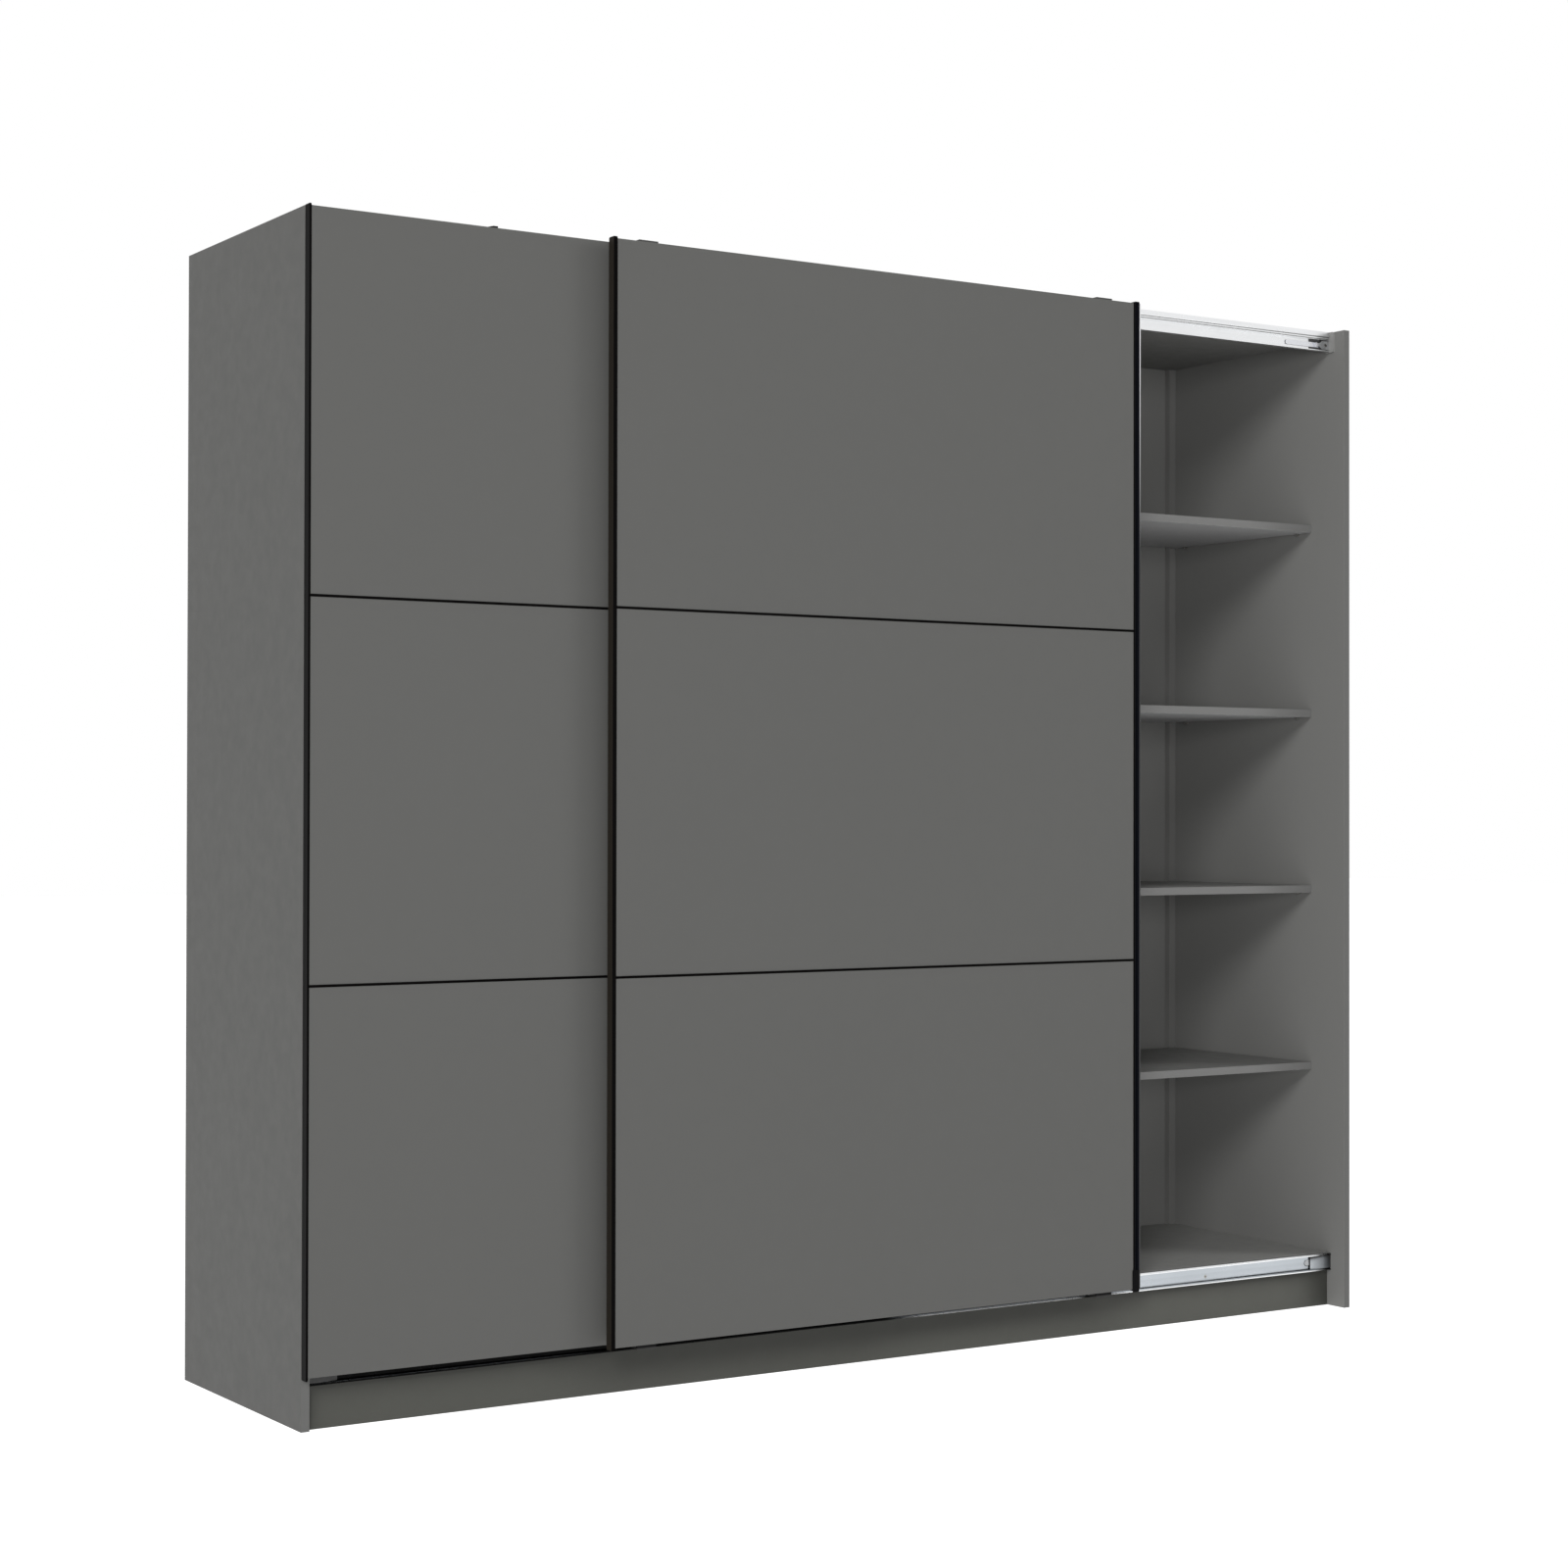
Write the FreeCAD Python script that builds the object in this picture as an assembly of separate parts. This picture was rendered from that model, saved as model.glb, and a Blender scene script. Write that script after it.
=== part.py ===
"""Sliding door wardrobe: a carcass of melamine boards, two doors that slide past each other.

Axes: +X to the right when facing the doors, +Y towards the wall, +Z up.
Origin: middle of the footprint, on the floor.  Every length is in millimetres.
The rear door stands closed against the left side panel; the front door is slid open to the left.
"""
import FreeCAD, Part
import os

V = FreeCAD.Vector
ALONG_X = V(1, 0, 0)
ALONG_Y = V(0, 1, 0)
UP = V(0, 0, 1)

# ---- overall size ----
WIDTH = 2400.0
DEPTH = 600.0               # front of the front door to the rear edges of the sides
HEIGHT = 2100.0             # side panels; the top guide arms stand a little above
BOARD = 16.0                # melamine board
BACK_SHEET = 3.0            # thin back panels
SOFTENED = 0.6              # edge radius of a banded board

LEFT, RIGHT = -WIDTH / 2, WIDTH / 2
FRONT, REAR = -DEPTH / 2, DEPTH / 2
INNER_LEFT, INNER_RIGHT = LEFT + BOARD, RIGHT - BOARD

# ---- door planes ----
DOOR_WIDTH = 1230.0
DOOR_THICKNESS = 18.0       # over the black profiles
DOOR_PITCH = 38.0           # from one door's front face to the other's
SIDE_GAP = 2.0              # door to the side panel edge that it closes against
SKIN = 1.0                  # profile flange standing proud of the boards
FRONT_DOOR_Y = FRONT
REAR_DOOR_Y = FRONT + DOOR_PITCH
FRONT_DOOR_X = LEFT + 574.0     # left edge of the front door as it stands
REAR_DOOR_X = LEFT              # left edge of the rear door, closed

# ---- carcass planes ----
RIGHT_SIDE_Y = FRONT_DOOR_Y + DOOR_THICKNESS + SIDE_GAP
LEFT_SIDE_Y = REAR_DOOR_Y + DOOR_THICKNESS + SIDE_GAP
RAIL_ROOM = 14.0                    # rails stand in front of the carcass boards
INNER_DEPTH = 500.0                 # carcass front to the rear corner battens
SHELF_SETBACK = 48.0
SHELF_DEPTH = 450.0
PLINTH_REAR_SETBACK = 25.0
CARCASS_Y = LEFT_SIDE_Y + RAIL_ROOM
BATTEN_Y = CARCASS_Y + INNER_DEPTH
BACK_Y = BATTEN_Y + BOARD
SHELF_Y = CARCASS_Y + SHELF_SETBACK
PLINTH_REAR_Y = BACK_Y - PLINTH_REAR_SETBACK - BOARD

# ---- heights ----
PLINTH_HEIGHT = 98.0
FLOOR_TOP = PLINTH_HEIGHT + BOARD
CEILING = HEIGHT - BOARD
SHELF_TOPS = (520.0, 904.0, 1286.0, 1688.0)
HAT_SHELF_TOP = SHELF_TOPS[3]

# ---- compartments: three equal ones ----
BAY = (WIDTH - 4 * BOARD) / 3
PARTITION_LEFT_X = INNER_LEFT + BAY
PARTITION_RIGHT_X = PARTITION_LEFT_X + BOARD + BAY
BAY_STARTS = (INNER_LEFT, PARTITION_LEFT_X + BOARD, PARTITION_RIGHT_X + BOARD)

# ---- door boards and profiles ----
DOOR_BOTTOM, DOOR_TOP = 95.0, 2097.0        # boards
PROFILE_BOTTOM, PROFILE_TOP = 91.0, 2099.0
REAR_FLANGE = 4.0           # seen face of the rear door's slim profiles
FRONT_FLANGE = 8.0          # seen face of the front door's slim profile
GRIP_FLANGE = 5.0
EDGE_WALL = 1.5
DIVIDER_FACE = 4.6
DIVIDER_WEB = 1.0
GRIP_WIDTH = 11.0
SEAL_WIDTH = 4.5
SEAL_ROUND = 1.6

# ---- rails ----
RAIL_DEPTH = 12.0
RAIL_WALL = 2.0
RAIL_FRONT = CARCASS_Y - RAIL_DEPTH
RAIL_WEB = CARCASS_Y - RAIL_WALL            # front face of the upright web
LOW_RAIL_BOTTOM, LOW_RAIL_TOP = 77.0, 111.0
BEAD_INSET = 4.0
BEAD_Y = RAIL_FRONT + BEAD_INSET
BEAD_RADIUS = 1.5
BEAD_HEIGHT = 2.3
TOP_RAIL_BOTTOM = 2058.0
TOP_RAIL_SHELF = 2082.0                     # underside of the flange between the two top channels
TOP_RAIL_SHELF_THICK = 8.0
RAIL_GROOVE = 1.6                           # shadow grooves along the front of that flange
RAIL_GROOVE_DEPTH = 2.5
RAIL_GROOVE_EDGE = 1.0                      # metal left between a groove and the flange's edge
GUTTER_WALL = 1.5
FLANGE_STEP = 0.6                           # the flange stands back from the lips
CAP_THICK = 4.0
CAP_PROUD = 12.0            # the right end cap stands this far in front of the rail
CAP_LEFT_PROUD = 1.0        # the left one only this far in front of the side panel's edge
CAP_BELOW = 2.0
CAP_CORNERS = (4.0, 2.0)    # corner radii of the right and the left cap
RAIL_SCREW_SPACING = 558.0
RAIL_SCREW_Z = 90.0
RAIL_SCREW_LENGTH = 16.0
GUTTER_SCREW_DROP = 5.0

# ---- wheels ----
WHEEL_RADIUS = 11.0
WHEEL_WIDTH = 6.0
GROOVE_RADIUS = 1.9
RIM_CLEARANCE = 0.3
AXLE_RADIUS = 3.0
RUNNING_FIT = 0.05
WHEEL_INSET = 82.5          # wheel centre to door edge
WHEEL_SETBACK = 1.0         # rail's front to the wheel's front face
WHEEL_CHAMFER = 0.5
WHEEL_DISH = (8.0, 5.0, 1.0)        # radii and depth of the ring sunk in its face
AXLE_HEAD_RADIUS = 4.5
AXLE_HEAD = 1.0
END_PLAY = 0.3
WHEEL_RISE = WHEEL_RADIUS - GROOVE_RADIUS + RIM_CLEARANCE
REAR_WHEEL_Z = LOW_RAIL_TOP + BEAD_HEIGHT + WHEEL_RISE
FRONT_WHEEL_Z = LOW_RAIL_BOTTOM + RAIL_WALL + BEAD_HEIGHT + WHEEL_RISE

# ---- catches and stops ----
CATCH_LENGTH = 37.0
SPRING_LENGTH = 83.0
CATCH_PLATE = 1.1
CATCH_HALF = 9.0
LEAF_HALF = 5.0
LEAF_THICK = 1.0
WAIST_HALF = 3.5
WAIST_RADIUS = 11.0
WAIST_IN = 6.0              # waist to the nose of its catch
CATCH_SETBACK = 2.0         # rail's front to the face of a catch
CATCH_SCREW_IN = 27.0
CATCH_PLATE_PAST = 14.0     # the black plate reaches this far past the nose
CATCH_PLAY = 0.1
FITTING_SCREW_LENGTH = 20.0
STOP_LENGTH = 54.5
STOP_LEAF = 14.0            # the flat tongue past a bottom stop's nose
STOP_LEAF_HALF = 6.0
STOP_LEAF_RISE = 1.0        # leaf's middle above the channel's middle
STOP_THICK_LENGTH = 20.0    # from the side panel to where the wedge begins to thin
STOP_FACE = 1.5             # rail's front to the thick end's face
STOP_NOSE_FACE = 6.5        # and to the face at the nose
STOP_SCREW_OUT = 44.0
SHOE_HALF = 30.0            # half length of a rear door guide shoe
REAR_TRAVEL = 1148.0


def box(x0, x1, y0, y1, z0, z1):
    """A plain block between three pairs of planes."""
    return Part.makeBox(x1 - x0, y1 - y0, z1 - z0, V(x0, y0, z0))


def board(x0, x1, y0, y1, z0, z1, radius=SOFTENED):
    """A block with all its edges slightly rounded, as edge banding is."""
    block = box(x0, x1, y0, y1, z0, z1)
    return block.makeFillet(radius, block.Edges)


def rod(radius, length, start, direction):
    return Part.makeCylinder(radius, length, start, direction)


def bored(solid, tools):
    """The solid with the space of each tool taken out."""
    return solid.cut(Part.makeCompound(tools)) if tools else solid


def extrude_x(points, x0, x1):
    """A section given as (y, z) points, run along X."""
    wire = Part.makePolygon([V(x0, y, z) for y, z in points + points[:1]])
    return Part.Face(wire).extrude(V(x1 - x0, 0, 0))


def extrude_z(points, z0, z1):
    """A section given as (x, y) points, run along Z."""
    wire = Part.makePolygon([V(x, y, z0) for x, y in points + points[:1]])
    return Part.Face(wire).extrude(V(0, 0, z1 - z0))


def fuse(first, *others):
    return first.multiFuse(list(others)).removeSplitter()


CROSS_REACH = 2.4           # cross slot of a screw head
CROSS_HALF = 0.4
CROSS_DEPTH = 1.2


def countersunk_screw(head, direction, length, radius=2.0, head_radius=4.0):
    """A flat-headed screw: head is the middle of its top face, direction is the way it goes in."""
    sink = head_radius - radius
    cone = Part.makeCone(head_radius, radius, sink, head, direction)
    shank = rod(radius, length, head, direction)
    arm = box(-CROSS_REACH, CROSS_REACH, -CROSS_HALF, CROSS_HALF, 0, CROSS_DEPTH)
    cross = arm.fuse(box(-CROSS_HALF, CROSS_HALF, -CROSS_REACH, CROSS_REACH, 0, CROSS_DEPTH))
    cross.Placement = FreeCAD.Placement(head, FreeCAD.Rotation(UP, direction))
    return cone.fuse(shank).removeSplitter().cut(cross)


def screw_hole(head, direction, length, radius=2.0, head_radius=4.0):
    """The room that such a screw takes up."""
    sink = head_radius - radius
    cone = Part.makeCone(head_radius, radius, sink, head, direction)
    return cone.fuse(rod(radius, length, head, direction)).removeSplitter()


# ---------------------------------------------------------------- connectors

CAM_RADIUS = 7.5
CAM_DEPTH = 12.5
CAM_INSET = 34.0
BOLT_RADIUS = 3.0
BOLT_INTO_SIDE = 10.0
DOWEL_RADIUS = 4.0
DOWEL_LENGTH = 24.0
CONNECTOR_YS = (CARCASS_Y + 70.0, CARCASS_Y + 430.0)
DOWEL_YS = (CARCASS_Y + 102.0, CARCASS_Y + 398.0)
PLANK_MIDDLES = (PLINTH_HEIGHT + BOARD / 2, HEIGHT - BOARD / 2)


def cam_connectors():
    """Cam and bolt pairs that pull the top and the bottom board against the two sides."""
    made = []
    for z, face, way in ((PLANK_MIDDLES[0], PLINTH_HEIGHT, 1), (PLANK_MIDDLES[1], HEIGHT, -1)):
        for end, inward in ((INNER_LEFT, 1), (INNER_RIGHT, -1)):
            for y in CONNECTOR_YS:
                x = end + inward * CAM_INSET
                cam = rod(CAM_RADIUS, CAM_DEPTH, V(x, y, face), V(0, 0, way))
                start = V(end - inward * BOLT_INTO_SIDE, y, z)
                bolt = rod(BOLT_RADIUS, CAM_INSET + BOLT_INTO_SIDE, start, V(inward, 0, 0))
                made.append(cam.fuse(bolt).removeSplitter())
    return made


def dowels():
    """Wooden dowels: board ends into the sides, and partition ends into the top and bottom."""
    made = []
    for end, inward in ((INNER_LEFT, 1), (INNER_RIGHT, -1)):
        for z in PLANK_MIDDLES:
            for y in DOWEL_YS:
                start = V(end - inward * DOWEL_LENGTH / 2, y, z)
                made.append(rod(DOWEL_RADIUS, DOWEL_LENGTH, start, V(inward, 0, 0)))
    for x in (PARTITION_LEFT_X + BOARD / 2, PARTITION_RIGHT_X + BOARD / 2):
        for z in (FLOOR_TOP, CEILING):
            for y in DOWEL_YS:
                made.append(rod(DOWEL_RADIUS, DOWEL_LENGTH, V(x, y, z - DOWEL_LENGTH / 2), UP))
    return made


# ---------------------------------------------------------------- shelves

PIN_RADIUS = 2.5
PIN_IN = 7.0
PIN_OUT = 9.0
PIN_SETBACK = 40.0
PIN_YS = (SHELF_Y + PIN_SETBACK, SHELF_Y + SHELF_DEPTH - PIN_SETBACK)
SHELF_PLAY = 0.5


def bay_limits(bay):
    return BAY_STARTS[bay], BAY_STARTS[bay] + BAY


def shelf(bay, top):
    x0, x1 = bay_limits(bay)
    return board(x0 + SHELF_PLAY, x1 - SHELF_PLAY, SHELF_Y, SHELF_Y + SHELF_DEPTH, top - BOARD, top)


def shelf_pins(bay, top):
    """Four pins under one shelf: a short peg with a wider collar against the upright."""
    x0, x1 = bay_limits(bay)
    made = []
    for face, inward in ((x0, 1), (x1, -1)):
        for y in PIN_YS:
            z = top - BOARD - PIN_RADIUS
            way = V(inward, 0, 0)
            made.append(rod(PIN_RADIUS, PIN_IN + PIN_OUT, V(face - inward * PIN_IN, y, z), way))
    return made


SHELVES = {"shelf_left": (0, HAT_SHELF_TOP), "shelf_middle": (1, HAT_SHELF_TOP)}
for number, shelf_top in enumerate(SHELF_TOPS, start=1):
    SHELVES["shelf_right_%d" % number] = (2, shelf_top)

# ---------------------------------------------------------------- clothes rails

TUBE_RADIUS = 12.5
TUBE_WALL = 1.2
TUBE_Y = SHELF_Y + SHELF_DEPTH / 2
TUBE_DROP = 55.0
TUBE_Z = HAT_SHELF_TOP - BOARD - TUBE_DROP
SOCKET_BASE = 3.0
SOCKET_DEPTH = 13.0
SOCKET_RADIUS = 21.0
SOCKET_WALL = 2.2
SOCKET_FIT = 0.1
SOCKET_SCREW_OUT = 17.4
SOCKET_SCREW = (10.0, 1.5, 2.6)     # length, shank radius, head radius
TUBE_PLAY = 0.3


def clothes_rail(bay):
    x0, x1 = bay_limits(bay)
    start = V(x0 + SOCKET_BASE + TUBE_PLAY, TUBE_Y, TUBE_Z)
    length = x1 - x0 - 2 * (SOCKET_BASE + TUBE_PLAY)
    outer = rod(TUBE_RADIUS, length, start, ALONG_X)
    return outer.cut(rod(TUBE_RADIUS - TUBE_WALL, length, start, ALONG_X))


def rail_socket(face, inward):
    """A round cup on an upright that the end of a clothes rail drops into."""
    way = V(inward, 0, 0)
    middle = V(face, TUBE_Y, TUBE_Z)
    base = rod(SOCKET_RADIUS, SOCKET_BASE, middle, way)
    cup = rod(TUBE_RADIUS + SOCKET_WALL, SOCKET_DEPTH, middle, way)
    hollow_start = V(face + inward * SOCKET_BASE, TUBE_Y, TUBE_Z)
    hollow = rod(TUBE_RADIUS + SOCKET_FIT, SOCKET_DEPTH, hollow_start, way)
    solid = base.fuse(cup).removeSplitter().cut(hollow)
    return bored(solid, [screw_hole(*screw) for screw in socket_screws(face, inward)])


def socket_screws(face, inward):
    """Head, direction, length and radii of the two screws that hold one socket."""
    x = face + inward * SOCKET_BASE
    return [(V(x, TUBE_Y + way * SOCKET_SCREW_OUT, TUBE_Z), V(-inward, 0, 0), *SOCKET_SCREW) for way in (-1, 1)]


def socket_places():
    return [(x, way) for bay in (0, 1) for x, way in zip(bay_limits(bay), (1, -1))]


# ---------------------------------------------------------------- back panels and nails

NAIL_RADIUS = 0.8
NAIL_LENGTH = 15.0
NAIL_HEAD_RADIUS = 2.2
NAIL_HEAD = 0.8
NAILS_UP = 11
NAIL_EDGE = 4.5             # nail to the side edge of its sheet
NAIL_END = 40.0             # lowest and highest nail to the end of the sheet
NAIL_SPACES_ACROSS = 5
SHEET_GAP = 0.2
BATTEN_WIDTH = 18.0
BATTEN_SOFTENED = 0.4
BACK_BOTTOM, BACK_TOP = PLINTH_HEIGHT + 1.0, HEIGHT - 1.0
SHEET_JOINTS = (INNER_LEFT, PARTITION_LEFT_X + BOARD / 2, PARTITION_RIGHT_X + BOARD / 2, INNER_RIGHT)


def nail(x, z):
    head = rod(NAIL_HEAD_RADIUS, NAIL_HEAD, V(x, BACK_Y + BACK_SHEET, z), ALONG_Y)
    shank = rod(NAIL_RADIUS, NAIL_LENGTH, V(x, BACK_Y + BACK_SHEET - NAIL_LENGTH, z), ALONG_Y)
    return head.fuse(shank).removeSplitter()


def nail_places():
    """Up both edges of each back sheet, and along its top and bottom."""
    made = []
    rise = (BACK_TOP - BACK_BOTTOM - 2 * NAIL_END) / (NAILS_UP - 1)
    for x0, x1 in zip(SHEET_JOINTS[:-1], SHEET_JOINTS[1:]):
        for x in (x0 + NAIL_EDGE, x1 - NAIL_EDGE):
            made += [(x, BACK_BOTTOM + NAIL_END + k * rise) for k in range(NAILS_UP)]
        for k in range(1, NAIL_SPACES_ACROSS):
            x = x0 + k * (x1 - x0) / NAIL_SPACES_ACROSS
            made += [(x, PLANK_MIDDLES[0]), (x, PLANK_MIDDLES[1])]
    return made


def back_panel(index, nails):
    x0, x1 = SHEET_JOINTS[index] + SHEET_GAP, SHEET_JOINTS[index + 1] - SHEET_GAP
    return bored(box(x0, x1, BACK_Y, BACK_Y + BACK_SHEET, BACK_BOTTOM, BACK_TOP), nails)


def back_batten(x0, nails):
    """The strip in the rear corner of an outer compartment that the back sheet is nailed to."""
    strip = board(x0, x0 + BATTEN_WIDTH, BATTEN_Y, BACK_Y, FLOOR_TOP, CEILING, BATTEN_SOFTENED)
    return bored(strip, nails)


# ---------------------------------------------------------------- rails

def bead(z):
    """The rounded rib that a grooved wheel runs on; z is the flat under it."""
    crown_z = z + BEAD_HEIGHT - BEAD_RADIUS
    rib = box(INNER_LEFT, INNER_RIGHT, BEAD_Y - BEAD_RADIUS, BEAD_Y + BEAD_RADIUS, z, crown_z)
    crown = rod(BEAD_RADIUS, INNER_RIGHT - INNER_LEFT, V(INNER_LEFT, BEAD_Y, crown_z), ALONG_X)
    return rib.fuse(crown)


def bottom_rail(screws):
    """A channel open to the front, with a running rib on each of its two lips."""
    lower = LOW_RAIL_BOTTOM + RAIL_WALL
    upper = LOW_RAIL_TOP - RAIL_WALL
    section = [(CARCASS_Y, LOW_RAIL_BOTTOM), (RAIL_FRONT, LOW_RAIL_BOTTOM), (RAIL_FRONT, lower),
               (RAIL_WEB, lower), (RAIL_WEB, upper), (RAIL_FRONT, upper),
               (RAIL_FRONT, LOW_RAIL_TOP), (CARCASS_Y, LOW_RAIL_TOP)]
    channel = extrude_x(section, INNER_LEFT, INNER_RIGHT)
    return bored(fuse(channel, bead(lower), bead(LOW_RAIL_TOP)), screws)


def top_rail(screws):
    """A channel open to the front under a gutter open to the top; the flange between has two grooves."""
    x0, x1 = INNER_LEFT + CAP_THICK, INNER_RIGHT - CAP_THICK
    shelf_top = TOP_RAIL_SHELF + TOP_RAIL_SHELF_THICK
    lower = TOP_RAIL_BOTTOM + RAIL_WALL
    gutter_wall = RAIL_FRONT + GUTTER_WALL
    lip = RAIL_FRONT + FLANGE_STEP
    section = [(CARCASS_Y, TOP_RAIL_BOTTOM), (RAIL_FRONT, TOP_RAIL_BOTTOM), (RAIL_FRONT, lower),
               (RAIL_WEB, lower), (RAIL_WEB, TOP_RAIL_SHELF), (lip, TOP_RAIL_SHELF)]
    for z in (TOP_RAIL_SHELF + RAIL_GROOVE_EDGE, shelf_top - RAIL_GROOVE_EDGE - RAIL_GROOVE):
        deep = lip + RAIL_GROOVE_DEPTH
        section += [(lip, z), (deep, z), (deep, z + RAIL_GROOVE), (lip, z + RAIL_GROOVE)]
    section += [(lip, shelf_top - FLANGE_STEP), (RAIL_FRONT, shelf_top), (RAIL_FRONT, HEIGHT),
                (gutter_wall, HEIGHT), (gutter_wall, shelf_top), (RAIL_WEB, shelf_top), (RAIL_WEB, HEIGHT),
                (CARCASS_Y, HEIGHT)]
    return bored(extrude_x(section, x0, x1), screws)


def rail_end_caps():
    """Plastic plates between the ends of the top rail and the side panels."""
    z0 = TOP_RAIL_BOTTOM - CAP_BELOW
    right = box(INNER_RIGHT - CAP_THICK, INNER_RIGHT, RAIL_FRONT - CAP_PROUD, CARCASS_Y, z0, HEIGHT)
    left = box(INNER_LEFT, INNER_LEFT + CAP_THICK, LEFT_SIDE_Y - CAP_LEFT_PROUD, CARCASS_Y, z0, HEIGHT)
    rounded = []
    for cap, corner_radius in zip((right, left), CAP_CORNERS):
        front = [e for e in cap.Edges if e.Length < CAP_THICK + 0.1 and e.CenterOfMass.y < RAIL_FRONT + 1]
        rounded.append(cap.makeFillet(corner_radius, front))
    return rounded


def tongue(tip, root, middle, half, y0, y1):
    """A flat strip from root to tip along X, with a round end at tip."""
    inward = 1 if root > tip else -1
    straight_from = tip + inward * half
    strip = box(min(straight_from, root), max(straight_from, root), y0, y1, middle - half, middle + half)
    return strip.fuse(rod(half, y1 - y0, V(straight_from, y0, middle), ALONG_Y)).removeSplitter()


def catch_middle():
    return (TOP_RAIL_BOTTOM + RAIL_WALL + TOP_RAIL_SHELF) / 2


def catch_spring(nose, outward):
    """The metal part of a catch: a leaf with a rounded tip that grows into a waisted block."""
    end = nose + outward * (CATCH_LENGTH - CATCH_PLAY)
    y1 = RAIL_WEB - CATCH_PLATE - CATCH_PLAY
    y0 = y1 - LEAF_THICK
    middle = catch_middle()
    leaf = tongue(nose - outward * SPRING_LENGTH, end, middle, LEAF_HALF, y0, y1)
    face = RAIL_FRONT + CATCH_SETBACK
    block = box(min(nose, end), max(nose, end), face, y1, middle - CATCH_HALF, middle + CATCH_HALF)
    for way in (1, -1):
        centre = V(nose + outward * WAIST_IN, RAIL_FRONT, middle + way * (WAIST_HALF + WAIST_RADIUS))
        block = block.cut(rod(WAIST_RADIUS, RAIL_DEPTH, centre, ALONG_Y))
    pieces = sorted(block.Solids, key=lambda solid: solid.Volume)
    hole = screw_hole(catch_screw_place(nose, outward), ALONG_Y, FITTING_SCREW_LENGTH)
    return bored(fuse(leaf, pieces[-1]), [hole])


def catch_screw_place(nose, outward):
    return V(nose + outward * CATCH_SCREW_IN, RAIL_FRONT + CATCH_SETBACK, catch_middle())


def catch_plate(nose, outward):
    """The thin black plate between a catch and the rail's web."""
    end = nose + outward * CATCH_LENGTH
    start = nose - outward * CATCH_PLATE_PAST
    plate = box(min(start, end), max(start, end), RAIL_WEB - CATCH_PLATE, RAIL_WEB - CATCH_PLAY / 2,
                TOP_RAIL_BOTTOM + RAIL_WALL + CATCH_PLAY, TOP_RAIL_SHELF - CATCH_PLAY)
    return bored(plate, [screw_hole(catch_screw_place(nose, outward), ALONG_Y, FITTING_SCREW_LENGTH)])


CATCH_ENDS = ((INNER_LEFT + CAP_THICK + CATCH_LENGTH, -1), (INNER_RIGHT - CAP_THICK - CATCH_LENGTH, 1))
STOP_ENDS = ((INNER_LEFT, 1), (INNER_RIGHT, -1))


def stop_screw_place(end, inward):
    return V(end + inward * STOP_SCREW_OUT, RAIL_FRONT + STOP_NOSE_FACE - 0.5, RAIL_SCREW_Z)


def bottom_stop(end, inward):
    """A wedge in the rail's channel, thickest at the side panel, that meets the front door's wheel."""
    nose = end + inward * STOP_LENGTH
    z0, z1 = LOW_RAIL_BOTTOM + RAIL_WALL + BEAD_HEIGHT, LOW_RAIL_TOP - RAIL_WALL
    face, back = RAIL_FRONT + STOP_FACE, RAIL_WEB - LEAF_THICK - 2 * CATCH_PLAY
    outline = [(end, face), (end + inward * STOP_THICK_LENGTH, face), (nose, RAIL_FRONT + STOP_NOSE_FACE),
               (nose, back), (end, back)]
    hole = screw_hole(stop_screw_place(end, inward), ALONG_Y, FITTING_SCREW_LENGTH)
    return bored(extrude_z(outline, z0, z1), [hole])


def stop_leaf(end, inward):
    """The metal strip behind a bottom stop, whose round tip shows beyond the stop's nose."""
    middle = (LOW_RAIL_BOTTOM + LOW_RAIL_TOP) / 2 + STOP_LEAF_RISE
    tip, back = end + inward * (STOP_LENGTH + STOP_LEAF), RAIL_WEB - CATCH_PLAY
    leaf = tongue(tip, end, middle, STOP_LEAF_HALF, back - LEAF_THICK, back)
    return bored(leaf, [screw_hole(stop_screw_place(end, inward), ALONG_Y, FITTING_SCREW_LENGTH)])


def rail_screw_places():
    """Heads and lengths of the screws that hold both rails."""
    xs = [RAIL_SCREW_SPACING * k for k in (-1.5, -0.5, 0.5, 1.5)]
    heights = (RAIL_SCREW_Z, HEIGHT - GUTTER_SCREW_DROP)
    return [(V(x, RAIL_WEB, z), RAIL_SCREW_LENGTH) for z in heights for x in xs]


def fitting_screw_places():
    """Heads and lengths of the screws that hold the catches and the stops."""
    places = [catch_screw_place(nose, outward) for nose, outward in CATCH_ENDS]
    places += [stop_screw_place(end, inward) for end, inward in STOP_ENDS]
    return [(place, FITTING_SCREW_LENGTH) for place in places]


# ---------------------------------------------------------------- wall brackets

BRACKET_SPACING = 1600.0
BRACKET_WIDTH = 30.0
BRACKET_STEEL = 2.0
WALL_HOLE_RADIUS = 3.0
WALL_HOLE_Z = HEIGHT - 22.0
BRACKET_REACH = 60.0
BRACKET_LEG = 38.0
BRACKET_XS = (-BRACKET_SPACING / 2, BRACKET_SPACING / 2)
TOP_SCREW_YS = (REAR - 48.0, REAR - 30.0)
TOP_SCREW_LENGTH = 14.0
DOWN = V(0, 0, -1)


def wall_bracket(x):
    """A steel angle on top of the wardrobe whose upright leg is screwed to the wall."""
    x0, x1 = x - BRACKET_WIDTH / 2, x + BRACKET_WIDTH / 2
    flat = box(x0, x1, REAR - BRACKET_REACH, REAR, HEIGHT, HEIGHT + BRACKET_STEEL)
    leg = box(x0, x1, REAR - BRACKET_STEEL, REAR, HEIGHT - BRACKET_LEG, HEIGHT)
    hole = rod(WALL_HOLE_RADIUS, 3 * BRACKET_STEEL, V(x, REAR - 2 * BRACKET_STEEL, WALL_HOLE_Z), ALONG_Y)
    return bored(fuse(flat, leg), [hole] + bracket_holes(x))


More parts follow.
